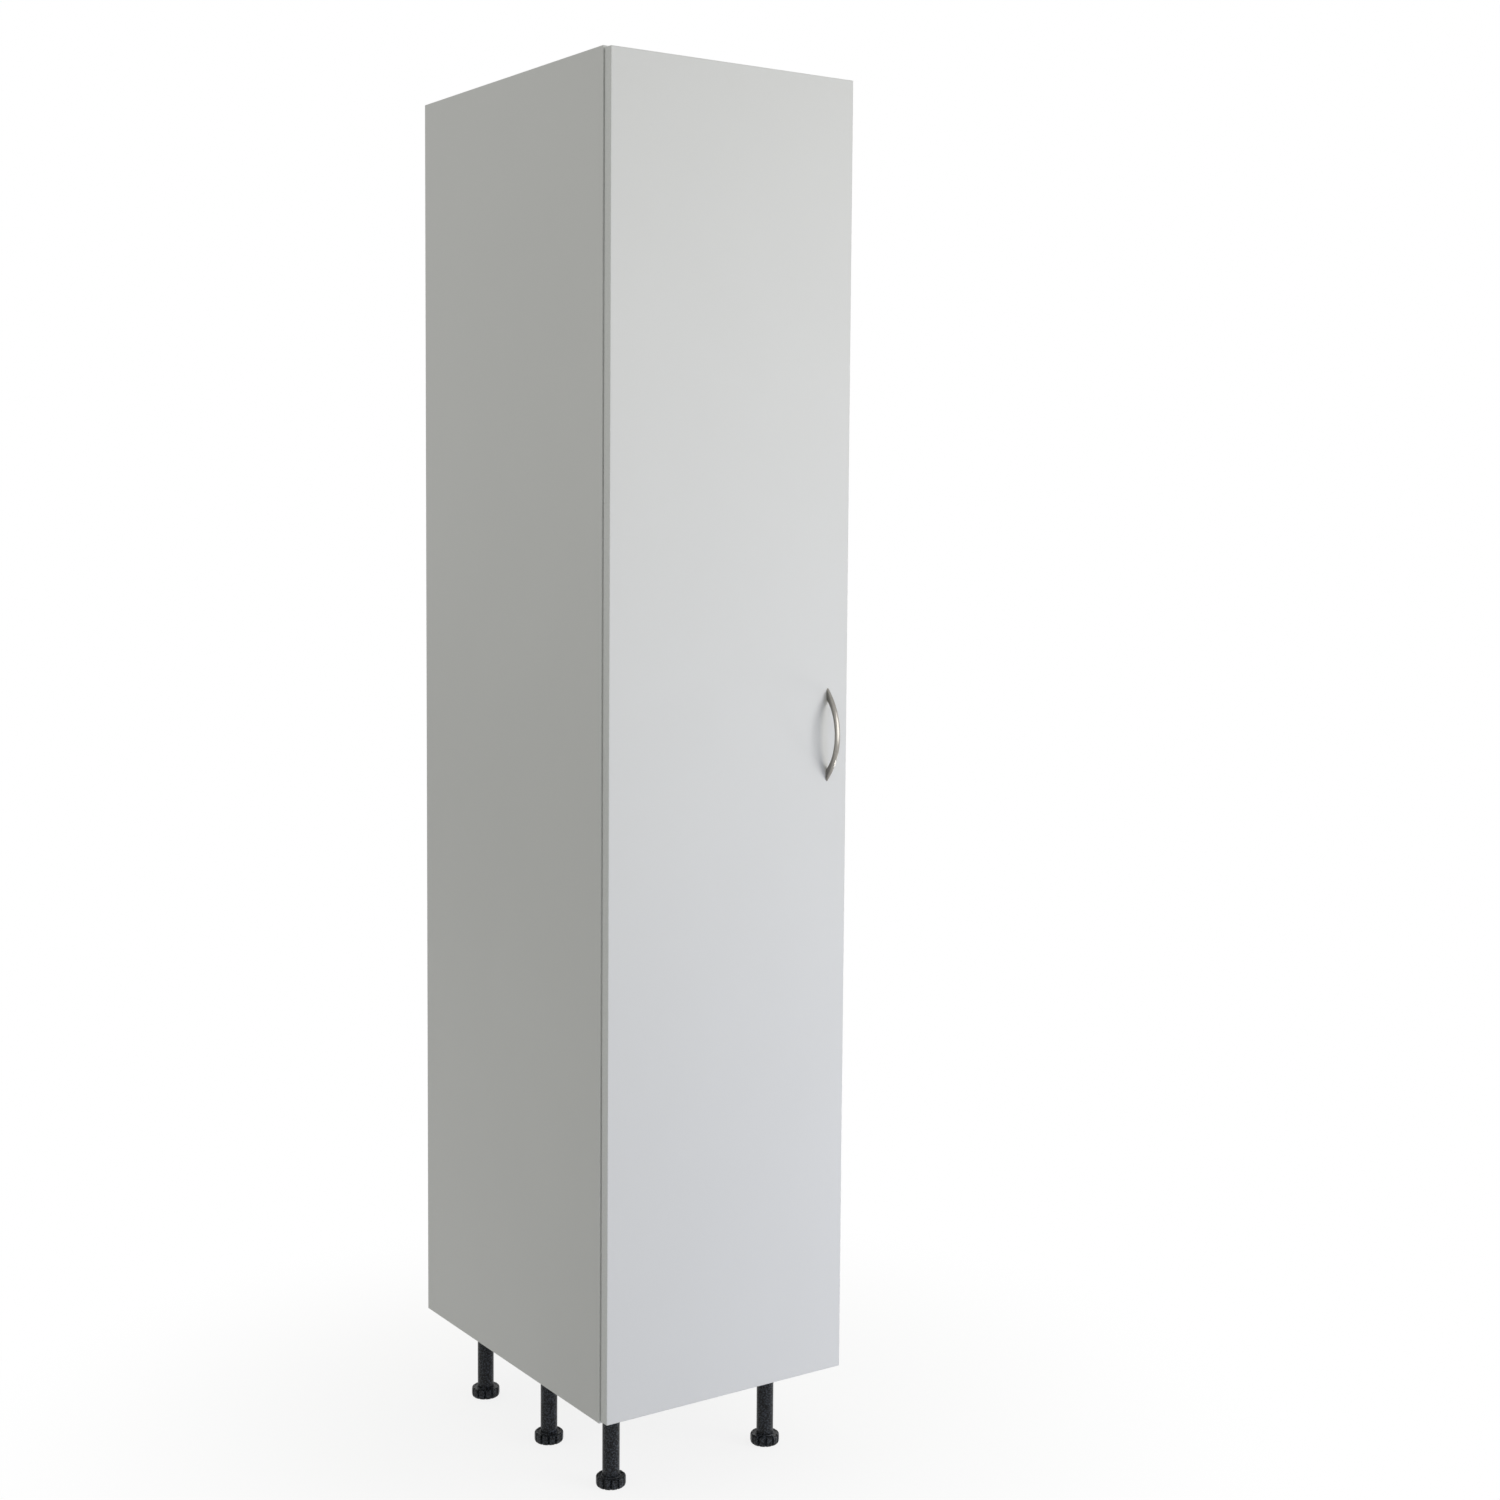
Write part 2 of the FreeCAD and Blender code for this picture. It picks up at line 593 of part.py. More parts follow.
LEG_ROWS = {
    "front": f"({FRONT} + leg_inset_front)",
    "middle": f"({FRONT} + leg_inset_middle)",
    "rear": f"({FRONT} + carcass_depth - leg_inset_rear)",
}
LEG_SIDES = {
    "left": f"({LEFT} + leg_inset_side)",
    "right": f"({RIGHT} - leg_inset_side)",
}
LEG_SPOTS = {f"{row}_{side}": (x, y) for row, y in LEG_ROWS.items() for side, x in LEG_SIDES.items()}
# The right middle leg stands a little further back than the left one.
LEG_SPOTS["middle_right"] = (LEG_SIDES["right"], f"({FRONT} + leg_inset_middle + leg_middle_setback)")


SOCKET_CORNERS = {
    "left_front": "--",
    "right_front": "+-",
    "left_rear": "-+",
    "right_rear": "++",
}


def leg_socket(label, x, y):
    """Socket under the bottom panel: a round flange with four screw holes and a sleeve for the tube."""
    flange_under = f"({BOTTOM} - socket_flange_height)"
    flange = rod(label + "_flange", (x, y, BOTTOM), "-Z", "socket_flange", "socket_flange_height")
    sleeve = rod(label + "_sleeve", (x, y, BOTTOM), "-Z", "socket_sleeve", "socket_sleeve_height")
    tools = [rod(label + "_mouth", (x, y, flange_under), "-Z",
                 "tube_radius + socket_play", "socket_sleeve_height")]
    screws = []
    step = "socket_screw_ring / 2 ^ 0.5"
    bore = "socket_screw_radius + fit_play"
    for corner, (across, along) in SOCKET_CORNERS.items():
        name = f"{label}_{corner}"
        corner_x, corner_y = f"({x} {across} {step})", f"({y} {along} {step})"
        at = (corner_x, corner_y, flange_under)
        tools.append(rod(name + "_bore", at, "+Z", bore, "socket_flange_height"))
        bores["bottom_panel"].append(
            rod(name + "_pilot", (corner_x, corner_y, BOTTOM), "+Z", bore,
                "socket_screw_depth + screw_tip_play"))
        screws.append(screw(name + "_screw", at, "+Z", "socket_screw_radius",
                            "socket_flange_height + socket_screw_depth", "socket_screw_head"))
    return cut(label, fused(label + "_body", [flange, sleeve]), tools), screws


def leg_tube(label, x, y):
    """Plastic tube with a thick threaded end for the foot's stem."""
    low = "foot_height"
    high = "(leg_height - socket_flange_height)"
    thread_top = f"({low} + tube_thread_length)"
    hollow = "(tube_radius - tube_wall)"
    bore = "(stem_radius + fit_play)"
    body = turned(label, [(bore, low), ("tube_radius", low), ("tube_radius", high), (hollow, high),
                          (hollow, thread_top), (bore, thread_top)])
    place(body, (x, y, "0"))
    return body


def adjustable_foot(label, x, y):
    """Foot disc with grip notches round its rim and a threaded stem."""
    top = "(foot_height - foot_play)"
    corners = [("0", "0"), ("foot_radius - foot_chamfer", "0"), ("foot_radius", "foot_chamfer"),
               ("foot_radius", f"{top} - foot_shoulder"), ("foot_radius - foot_shoulder", top),
               ("stem_radius", top), ("stem_radius", f"{top} + stem_length"), ("0", f"{top} + stem_length")]
    body = turned(label, corners)
    doc.recompute()
    notch = circle_sketch(body, label + "_notch_outline", "XY_Plane",
                          ("foot_radius + notch_out", "0"), "notch_radius")
    pocket = body.newObject("PartDesign::Pocket", label + "_notch")
    pocket.Profile = notch
    pocket.Type = 1
    pocket.Reversed = True
    doc.recompute()
    pattern = body.newObject("PartDesign::PolarPattern", label + "_notches")
    pattern.Originals = [pocket]
    pattern.Axis = (notch, ["N_Axis"])
    pattern.Angle = 360
    pattern.Occurrences = NOTCH_COUNT
    body.Tip = pattern
    place(body, (x, y, "0"))
    return body


def make_legs():
    """Six legs: a socket, a tube and an adjustable foot each."""
    parts, screws = {}, []
    for spot, (x, y) in LEG_SPOTS.items():
        parts["leg_socket_" + spot], socket_screws = leg_socket("leg_socket_" + spot, x, y)
        parts["leg_tube_" + spot] = leg_tube("leg_tube_" + spot, x, y)
        parts["foot_" + spot] = adjustable_foot("foot_" + spot, x, y)
        screws += socket_screws
    parts["leg_socket_screws"] = group("leg_socket_screws", screws)
    return parts


def wall_bores():
    """Holes for the wall screws through the top rear rail and the back panel behind it."""
    z = f"({RAILS['rear_rail_top']} + rail_width / 2)"
    for side, sign in (("left", "-"), ("right", "+")):
        x = f"({sign}wall_hole_pitch / 2)"
        bores["rear_rail_top"].append(
            rod(f"wall_bore_rail_{side}", (x, RAIL_FRONT, z), "+Y", "wall_hole_radius", "board"))
        bores["back_panel"].append(
            rod(f"wall_bore_back_{side}", (x, BACK_PANEL_FRONT, z), "+Y",
                "wall_hole_radius", "back_thickness"))


def panel_groove(name, low_x, high_x, low_z, high_z):
    """Groove that the back panel slides in."""
    return block(name, (low_x, f"({BACK_PANEL_FRONT} - groove_play)", low_z),
                 (high_x, f"({RAIL_FRONT} + groove_play)", high_z))


def blank_board(board):
    """Board before it is bored."""
    reach = "(groove_depth - groove_play)"
    corners = {
        "side_panel_left": ((LEFT, BANDED_FRONT, BOTTOM), (INNER_LEFT, BACK, TOP)),
        "side_panel_right": ((INNER_RIGHT, BANDED_FRONT, BOTTOM), (RIGHT, BACK, TOP)),
        "top_panel": ((INNER_LEFT, BANDED_FRONT, CEILING), (INNER_RIGHT, BACK, TOP)),
        "bottom_panel": ((INNER_LEFT, BANDED_FRONT, BOTTOM), (INNER_RIGHT, BACK, FLOOR)),
        "fixed_shelf": ((INNER_LEFT, BANDED_FRONT, SHELF_UNDER),
                        (INNER_RIGHT, f"({BACK_PANEL_FRONT} - groove_play)", SHELF_TOP)),
        "back_panel": ((f"({INNER_LEFT} - {reach})", BACK_PANEL_FRONT, f"({FLOOR} - {reach})"),
                       (f"({INNER_RIGHT} + {reach})", RAIL_FRONT, f"({CEILING} + {reach})")),
        "door_panel": ((f"({DOOR_LEFT} + edge_band)", DOOR_FRONT, f"({DOOR_BOTTOM} + edge_band)"),
                       (f"({DOOR_RIGHT} - edge_band)", DOOR_BACK, f"({DOOR_TOP} - edge_band)")),
    }
    for rail, low in RAILS.items():
        corners[rail] = ((INNER_LEFT, RAIL_FRONT, low), (INNER_RIGHT, BACK, f"({low} + rail_width)"))
    low, high = corners[board]
    return block(board + "_blank", low, high)


def make_boards():
    """All boards, each less the bores of its fittings and the back panel's groove."""
    bores["side_panel_left"].append(
        panel_groove("groove_left", f"({INNER_LEFT} - groove_depth)", INNER_LEFT, BOTTOM, TOP))
    bores["side_panel_right"].append(
        panel_groove("groove_right", INNER_RIGHT, f"({INNER_RIGHT} + groove_depth)", BOTTOM, TOP))
    bores["top_panel"].append(
        panel_groove("groove_top", INNER_LEFT, INNER_RIGHT, CEILING, f"({CEILING} + groove_depth)"))
    bores["bottom_panel"].append(
        panel_groove("groove_bottom", INNER_LEFT, INNER_RIGHT, f"({FLOOR} - groove_depth)", FLOOR))
    return {board: cut(board, blank_board(board), bores[board]) for board in BOARDS}


def make_edge_bands():
    """Thin bands on the front edges of the carcass and round the door."""
    side_bands = [
        block("band_side_left", (LEFT, FRONT, BOTTOM), (INNER_LEFT, BANDED_FRONT, TOP)),
        block("band_side_right", (INNER_RIGHT, FRONT, BOTTOM), (RIGHT, BANDED_FRONT, TOP)),
    ]
    cross_bands = [block("band_" + board, (INNER_LEFT, FRONT, low), (INNER_RIGHT, BANDED_FRONT, high))
                   for board, (low, high, _, _) in CROSS_BOARDS.items()]
    within_left, within_right = f"({DOOR_LEFT} + edge_band)", f"({DOOR_RIGHT} - edge_band)"
    door_bands = [
        block("band_door_left", (DOOR_LEFT, DOOR_FRONT, DOOR_BOTTOM), (within_left, DOOR_BACK, DOOR_TOP)),
        block("band_door_right", (within_right, DOOR_FRONT, DOOR_BOTTOM), (DOOR_RIGHT, DOOR_BACK, DOOR_TOP)),
        block("band_door_bottom", (within_left, DOOR_FRONT, DOOR_BOTTOM),
              (within_right, DOOR_BACK, f"({DOOR_BOTTOM} + edge_band)")),
        block("band_door_top", (within_left, DOOR_FRONT, f"({DOOR_TOP} - edge_band)"),
              (within_right, DOOR_BACK, DOOR_TOP)),
    ]
    return {"side_edge_bands": group("side_edge_bands", side_bands),
            "cross_edge_bands": group("cross_edge_bands", cross_bands),
            "door_edge_bands": group("door_edge_bands", door_bands)}


def make_bumpers():
    """Soft buffers on the door's back that meet the right side panel's front edge."""
    x = f"({RIGHT} - board / 2)"
    heights = (("low", f"({DOOR_BOTTOM} + bumper_inset)"), ("high", f"({DOOR_TOP} - bumper_inset)"))
    bumpers = [rod("bumper_" + level, (x, DOOR_BACK, z), "+Y", "bumper_radius", "bumper_height")
               for level, z in heights]
    return {"door_bumpers": group("door_bumpers", bumpers)}


def check(feature):
    """Stop on a feature that failed or has no sound shape."""
    if "Invalid" in feature.State or "Error" in feature.State:
        raise RuntimeError(f"{feature.Name} failed: {feature.State}")
    shape = getattr(feature, "Shape", None)
    if shape is not None and (shape.isNull() or not shape.isValid()):
        if not feature.isDerivedFrom("App::OriginFeature"):
            raise RuntimeError(f"{feature.Name} has no sound shape")


nodes = {}
nodes.update(make_joints())
nodes.update(make_hinges())
nodes.update(make_handle())
nodes.update(make_legs())
wall_bores()
nodes.update(make_boards())
nodes.update(make_edge_bands())
nodes.update(make_bumpers())
doc.recompute()

for feature in doc.Objects:
    check(feature)
os.makedirs("parts", exist_ok=True)
for label, feature in nodes.items():
    feature.Label = label
    feature.Shape.exportStep(f"parts/{label}.step")
    print(f"{label:28} {len(feature.Shape.Solids):3} solid(s) {feature.Shape.Volume / 1000:10.2f} cm3")
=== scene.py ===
# %% [markdown]
# # Dressing a broom cupboard
# The cupboard's pieces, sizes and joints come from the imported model. This lesson gives each of them
# the finish and the small shapes that the real one has: soft arrises on the banded door, a bow handle
# with rounded edges, screws with recesses, and moulded feet with grip notches.
# The model is loaded first, because every piece here is placed by it.

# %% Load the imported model
import math
from functools import partial

import bmesh
import bpy
from mathutils import Matrix, Vector


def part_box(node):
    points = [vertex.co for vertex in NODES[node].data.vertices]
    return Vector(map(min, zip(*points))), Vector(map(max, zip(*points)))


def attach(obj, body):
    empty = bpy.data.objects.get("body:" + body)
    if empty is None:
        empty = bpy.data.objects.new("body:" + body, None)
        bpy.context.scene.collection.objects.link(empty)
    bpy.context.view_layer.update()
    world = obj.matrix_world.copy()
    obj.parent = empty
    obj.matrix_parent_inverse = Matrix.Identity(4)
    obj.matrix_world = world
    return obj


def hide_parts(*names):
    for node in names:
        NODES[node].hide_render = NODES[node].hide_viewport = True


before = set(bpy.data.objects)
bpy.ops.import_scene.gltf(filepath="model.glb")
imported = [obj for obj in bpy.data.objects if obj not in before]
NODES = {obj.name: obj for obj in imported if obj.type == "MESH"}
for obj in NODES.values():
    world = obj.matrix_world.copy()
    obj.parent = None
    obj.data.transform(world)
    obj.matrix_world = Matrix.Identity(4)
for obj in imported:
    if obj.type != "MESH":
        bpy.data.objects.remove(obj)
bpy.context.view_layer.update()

# %% [markdown]
# ## Units, colours and nodes
# The model is in metres and furniture is drawn in millimetres, so sizes below are written in
# millimetres and turned once. Colours are written as they look on a screen and turned to the linear
# values that a shader's sockets take. One function adds a node, whatever its kind, with its inputs
# and its properties. Another sets inputs, and serves the shaders too.

# %% Helpers for sizes, colours and nodes
MM = 0.001
NOISE, BUMP, MAP_RANGE = "ShaderNodeTexNoise", "ShaderNodeBump", "ShaderNodeMapRange"
MATH, VECTOR_MATH, COMBINE = "ShaderNodeMath", "ShaderNodeVectorMath", "ShaderNodeCombineXYZ"


def per_metre(size_mm):
    """The texture scale at which one cell of a pattern is this many millimetres across."""
    return 1000.0 / size_mm


def linear(hex_colour):
    """A screen colour such as #D8D8D6 as the linear RGBA of a socket."""
    parts = [int(hex_colour[i:i + 2], 16) / 255 for i in (1, 3, 5)]
    return tuple(p / 12.92 if p <= 0.04045 else ((p + 0.055) / 1.055) ** 2.4 for p in parts) + (1.0,)


def feed(node, inputs):
    """Sets a node's inputs, given as a dict by name or number, or as a tuple in their order.

    An input takes a value, an output, a node (its first output), or a list of those for one socket."""
    for socket, values in (inputs if isinstance(inputs, dict) else dict(enumerate(inputs))).items():
        for value in values if isinstance(values, list) else [values]:
            if isinstance(value, bpy.types.Node):
                value = value.outputs[0]
            if isinstance(value, bpy.types.NodeSocket):
                node.id_data.links.new(value, node.inputs[socket])
            else:
                node.inputs[socket].default_value = value


def add_node(tree, kind, inputs=(), settings=None):
    """Adds a node. The settings are its properties, or just the name of its operation."""
    node = tree.nodes.new(kind)
    for name, value in ({"operation": settings} if isinstance(settings, str) else settings or {}).items():
        setattr(node, name, value)
    feed(node, inputs)
    return node


def new_finish(name):
    """A new material, what adds nodes to it, its shader, and the object's own coordinates."""
    finish = bpy.data.materials.new(name)
    finish.use_nodes = True
    add = partial(add_node, finish.node_tree)
    return finish, add, finish.node_tree.nodes["Principled BSDF"], add("ShaderNodeTexCoord").outputs["Object"]


def two_tones(add, factor, dark, light, low=0.35, high=0.65):
    """A colour that runs from dark to light as the factor goes from low to high."""
    ramp = add("ShaderNodeValToRGB", {"Fac": factor})
    for element, position, colour in zip(ramp.color_ramp.elements, (low, high), (dark, light)):
        element.position, element.color = position, linear(colour)
    return ramp


print("linear mid grey", [round(v, 3) for v in linear("#808080")])

# %% [markdown]
# ## Melamine-faced board
# The panels are chipboard with a paper face soaked in melamine resin, pressed against a steel plate
# that prints a fine pearl into it. The pearl's grains are about 0.4 mm. They are drawn at 1.4 mm so
# that they still show, and very shallow. The press also leaves a faint unevenness a hand wide, which
# bends the soft reflections a little. Resin has an IOR of about 1.5 and a satin shine.

# %% White melamine face
melamine, add, shader, place = new_finish("melamine_face_pressed_pearl")
sheet_tone = add(NOISE, {"Vector": place, "Scale": per_metre(180), "Detail": 2.0})
pearl = add(NOISE, {"Vector": place, "Scale": per_metre(1.4), "Detail": 3.0, "Roughness": 0.6})
press = add(BUMP, {"Height": sheet_tone, "Strength": 0.1, "Distance": 0.25 * MM})
grain = add(BUMP, {"Height": pearl, "Strength": 0.35, "Distance": 0.03 * MM, "Normal": press})
feed(shader, {
    "Base Color": two_tones(add, sheet_tone, "#DCDCDB", "#DDDDDC"),
    "Roughness": add(MAP_RANGE, {"Value": pearl, "To Min": 0.36, "To Max": 0.46}),
    "Normal": grain, "IOR": 1.5})
print(melamine.name, len(melamine.node_tree.nodes), "nodes")

# %% [markdown]
# ## Edge band
# The bands are extruded ABS, a solid white plastic, glued on and scraped round by a cutter. The cutter
# leaves very fine ripples along the edge, 3 mm apart, and the plastic is a shade cooler and glossier
# than the board's face.

# %% White ABS edge band
edge_band, add, shader, place = new_finish("abs_edge_band_scraped")
streak = add(NOISE, {"Vector": place, "Scale": per_metre(3), "Detail": 2.0})
feed(shader, {
    "Base Color": two_tones(add, streak, "#DCDDDC", "#E1E2E1"),
    "Normal": add(BUMP, {"Height": streak, "Strength": 0.3, "Distance": 0.04 * MM}),
    "Roughness": 0.34, "IOR": 1.52})
print(edge_band.name, len(edge_band.node_tree.nodes), "nodes")

# %% [markdown]
# ## Raw chipboard
# Where a cut edge isn't banded, as on the rear and top of the sides, the board's core shows: pale and
# dark wood chips 2 to 4 mm long, lying flat, in brown glue. Cells of two sizes make the chips, and
# their own random colours pick the wood's tone.

# %% Chipboard core
chipboard, add, shader, place = new_finish("chipboard_core_sawn")
chips = add("ShaderNodeTexVoronoi", {"Vector": place, "Scale": per_metre(2.6), "Randomness": 1.0})
specks = add("ShaderNodeTexVoronoi", {"Vector": place, "Scale": per_metre(0.9)})
chip_pick = add("ShaderNodeSeparateColor", {"Color": chips.outputs["Color"]}).outputs["Red"]
speck_pick = add("ShaderNodeSeparateColor", {"Color": specks.outputs["Color"]}).outputs["Green"]
chip_tone = two_tones(add, chip_pick, "#A88660", "#D6BC90", 0.1, 0.9)
speck_tone = two_tones(add, speck_pick, "#8A6A48", "#CDB286", 0.1, 0.9)
wood = add("ShaderNodeMix", {"Factor": 0.35, 6: chip_tone, 7: speck_tone}, {"data_type": "RGBA"})
torn = add(BUMP, {"Height": chips, "Strength": 0.6, "Distance": 0.2 * MM})
feed(shader, {"Base Color": wood.outputs[2], "Normal": torn, "Roughness": 0.85})
print(chipboard.name, len(chipboard.node_tree.nodes), "nodes")

# %% [markdown]
# ## Back board
# The back is 3 mm fibreboard. Its inner face is rolled with white lacquer. The outer face is left as
# it was pressed: an even brown felt of fibres, a little darker in clouds, with a dull sheen.

# %% Fibreboard, lacquered and bare
back_white, add, shader, place = new_finish("fibreboard_white_lacquer")
felt = add(NOISE, {"Vector": place, "Scale": per_metre(2), "Detail": 4.0})
feed(shader, {
    "Base Color": two_tones(add, felt, "#D9D9D5", "#DEDEDB"),
    "Normal": add(BUMP, {"Height": felt, "Strength": 0.3, "Distance": 0.05 * MM}),
    "Roughness": 0.5})

back_brown, add, shader, place = new_finish("fibreboard_bare_pressed")
cloud = add(NOISE, {"Vector": place, "Scale": per_metre(60), "Detail": 3.0})
fibre = add(NOISE, {"Vector": place, "Scale": per_metre(1.5), "Detail": 6.0, "Roughness": 0.7})
felted = add("ShaderNodeMix", {"Factor": 0.6, "A": cloud, "B": fibre})
feed(shader, {
    "Base Color": two_tones(add, felted, "#9B7B58", "#B6976F"),
    "Normal": add(BUMP, {"Height": fibre, "Strength": 0.4, "Distance": 0.08 * MM}),
    "Roughness": 0.62})
print(back_white.name, back_brown.name)

# %% [markdown]
# ## Metals
# The handle is cast zinc, brushed along its length and plated with satin nickel. Its colour is drawn
# darker than polished nickel: a painted shade that stands in for the dark room the real handle
# reflects, since mirror rays here see the white background. The hinges are stamped steel with a
# bright nickel plate, and the screws and bolts are steel with zinc, which is bluish and mottled.
# Each keeps the shader's own IOR, since a metal's reflection comes from its colour. Brush lines are
# 0.3 mm apart on the real handle and are drawn at 0.8.

# %% Satin nickel, bright nickel and zinc
satin_nickel, add, shader, place = new_finish("satin_nickel_brushed")
along = add("ShaderNodeMapping", {"Vector": place, "Scale": (1.0, 1.0, 0.06)})
brush = add(NOISE, {"Vector": along, "Scale": per_metre(0.8), "Detail": 2.0})
# Painted shade: the handle's base colour is drawn darker than nickel, for the dark room it reflects.
feed(shader, {
    "Base Color": two_tones(add, brush, "#8B8883", "#9B9892"), "Metallic": 1.0,
    "Roughness": add(MAP_RANGE, {"Value": brush, "To Min": 0.24, "To Max": 0.36}),
    "Normal": add(BUMP, {"Height": brush, "Strength": 0.2, "Distance": 0.02 * MM})})

bright_nickel, add, shader, place = new_finish("nickel_plate_on_stamped_steel")
draw = add(NOISE, {"Vector": place, "Scale": per_metre(6), "Detail": 3.0})
feed(shader, {
    "Base Color": two_tones(add, draw, "#C6C2BA", "#D2CEC6"), "Metallic": 1.0,
    "Roughness": add(MAP_RANGE, {"Value": draw, "To Min": 0.14, "To Max": 0.3})})

zinc, add, shader, place = new_finish("zinc_plate_passivated")
mottle = add("ShaderNodeTexVoronoi", {"Vector": place, "Scale": per_metre(1.2)})
feed(shader, {
    "Base Color": two_tones(add, mottle, "#AEB4BA", "#C4C9CE", 0.1, 0.8), "Metallic": 1.0,
    "Roughness": add(MAP_RANGE, {"Value": mottle, "To Min": 0.28, "To Max": 0.45})})
print(satin_nickel.name, bright_nickel.name, zinc.name)

# %% [markdown]
# ## Black polypropylene
# Legs and feet are injection-moulded polypropylene. The mould is spark-eroded, so the plastic has a
# pebbled matt skin with grains of about 0.6 mm, drawn here at 2.8 mm so that they still show. It is
# near black, and its small blue-grey glints, where the grains catch the light, are painted highlights:
# lighter grains in the base colour. The pits between the grains shade each other, so the specular
# level is set well below a smooth plastic's.

# %% Black moulded plastic
black_plastic, add, shader, place = new_finish("polypropylene_spark_grain")
grain_and_painted_glints = add(NOISE, {"Vector": place, "Scale": per_metre(2.8), "Detail": 3.0, "Roughness": 0.65})
flow = add(NOISE, {"Vector": place, "Scale": per_metre(30), "Detail": 2.0})
# Painted highlights: the lighter grains of the base colour stand for glints of light, and the same noise
# gives the real pebbled bump.
feed(shader, {
    "Base Color": two_tones(add, grain_and_painted_glints, "#040506", "#484C52", 0.45, 0.64),
    "Roughness": add(MAP_RANGE, {"Value": flow, "To Min": 0.3, "To Max": 0.4}),
    "Normal": add(BUMP, {"Height": grain_and_painted_glints, "Strength": 0.6, "Distance": 0.25 * MM}),
    "IOR": 1.49, "Specular IOR Level": 0.2})
print(black_plastic.name, len(black_plastic.node_tree.nodes), "nodes")

# %% [markdown]
# ## Beech and clear buffers
# The dowels are turned beech, fluted and pale, with grain along them. The door's buffers are drops of
# clear polyurethane with a slight yellow cast and a soft surface.

# %% Beech and clear polyurethane
beech, add, shader, place = new_finish("beech_turned")
length_wise = add("ShaderNodeMapping", {"Vector": place, "Scale": (0.08, 1.0, 1.0)})
year_rings = add(NOISE, {"Vector": length_wise, "Scale": per_metre(0.8), "Detail": 3.0})
feed(shader, {"Base Color": two_tones(add, year_rings, "#C79F6E", "#DDBB8C"), "Roughness": 0.6})

clear_buffer, add, shader, place = new_finish("polyurethane_clear_cast")
skin = add(NOISE, {"Vector": place, "Scale": per_metre(1.5), "Detail": 2.0})
dull = add(MAP_RANGE, {"Value": skin, "To Min": 0.12, "To Max": 0.28})
feed(shader, {"Base Color": linear("#F1F0E8"), "Roughness": dull, "Transmission Weight": 0.85, "IOR": 1.5})
print(beech.name, clear_buffer.name)

# %% [markdown]
# ## Boards with real edges
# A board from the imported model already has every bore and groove, so its shape is copied and its loose
# triangles are merged. A real board isn't knife-sharp, so its long edges get a small arris with a
# bevel. Its two faces are melamine and whatever the saw or a drill has opened is chipboard, which is
# found from where each face lies and which way it points.

# %% Helpers that copy a node, soften its edges and finish a piece
NEAR = 0.02 * MM
SAME_POINT = 2e-6


def merged_copy(node):
    """A copy of a node's mesh in one piece, with its flat faces whole again."""
    shape = bmesh.new()
    shape.from_mesh(NODES[node].data)
    bmesh.ops.remove_doubles(shape, verts=shape.verts, dist=SAME_POINT)
    bmesh.ops.dissolve_limit(shape, angle_limit=math.radians(0.5), verts=shape.verts, edges=shape.edges)
    return shape


def outer_edge(low, high):
    """A test for edges that lie on two sides of a box at once."""
    def sides(point):
        return {(axis, side) for axis in range(3) for side, corner in enumerate((low, high))
                if abs(point[axis] - corner[axis]) < NEAR}
    return lambda a, b: len(sides(a) & sides(b)) >= 2


def soften(shape, width, wanted, segments=3):
    """Rounds off the edges that the test picks."""
    edges = [e for e in shape.edges if wanted(e.verts[0].co, e.verts[1].co)]
    bmesh.ops.bevel(shape, geom=edges, offset=width, segments=segments, profile=0.5, affect="EDGES",
                    clamp_overlap=True)
    return len(edges)


def as_mesh(shape, name="start"):
    """The shape as a mesh. The shape itself is used up."""
    mesh = bpy.data.meshes.new(name)
    shape.to_mesh(mesh)
    shape.free()
    return mesh


def new_object(name, data):
    """An object in the scene, for a mesh, a lamp or a camera."""
    made = bpy.data.objects.new(name, data)
    bpy.context.scene.collection.objects.link(made)
    return made


def evaluated(carrier):
    """The mesh that an object's modifiers make."""
    return bpy.data.meshes.new_from_object(carrier.evaluated_get(bpy.context.evaluated_depsgraph_get()))


def finished(name, shape, body, materials, nodes, smooth=40):
    """Turns a shape into a piece that rides on a body and stands for the nodes.

    Faces that meet at less than smooth degrees shade as one curve, but a large flat face stays flat."""
    shape.normal_update()
    mesh = as_mesh(shape, name + "_start")
    if "custom_normal" in mesh.attributes:
        mesh.attributes.remove(mesh.attributes["custom_normal"])
    for material in materials:
        mesh.materials.append(material)
    mesh.shade_smooth()
    mesh.set_sharp_from_angle(angle=math.radians(smooth))
    piece = new_object(name, mesh)
    piece.modifiers.new("large faces stay flat", "WEIGHTED_NORMAL").keep_sharp = True
    piece.data = evaluated(piece)
    piece.modifiers.clear()
    bpy.data.meshes.remove(mesh)
    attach(piece, body)
    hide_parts(*nodes)
    return piece


# %% Boards
ARRIS, AT_FACE = 0.15 * MM, 0.2 * MM
THICKNESS_AXIS = {
    "side_panel_left": 0, "side_panel_right": 0, "top_panel": 2, "bottom_panel": 2, "fixed_shelf": 2,
    "rear_rail_top": 1, "rear_rail_middle": 1, "rear_rail_bottom": 1, "door_panel": 1,
}
for node, axis in THICKNESS_AXIS.items():
    low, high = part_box(node)
    shape = merged_copy(node)
    softened = soften(shape, ARRIS, outer_edge(low, high), 1)
    shape.normal_update()
    for face in shape.faces:
        level = face.calc_center_median()[axis]
        at_face = min(abs(level - low[axis]), abs(level - high[axis])) < AT_FACE
        face.material_index = 0 if at_face and abs(face.normal[axis]) > 0.5 else 1
    body = "door" if node == "door_panel" else "carcass"
    board = finished(node + "_board", shape, body, [melamine, chipboard], [node])
    print(board.name, softened, "edges softened,", len(board.data.polygons), "faces")

# %% [markdown]
# ## The back board
# The back slides in grooves, so it needs no arris. The same copy is used, and its two faces get their
# own finishes: white towards the inside and bare brown towards the wall.

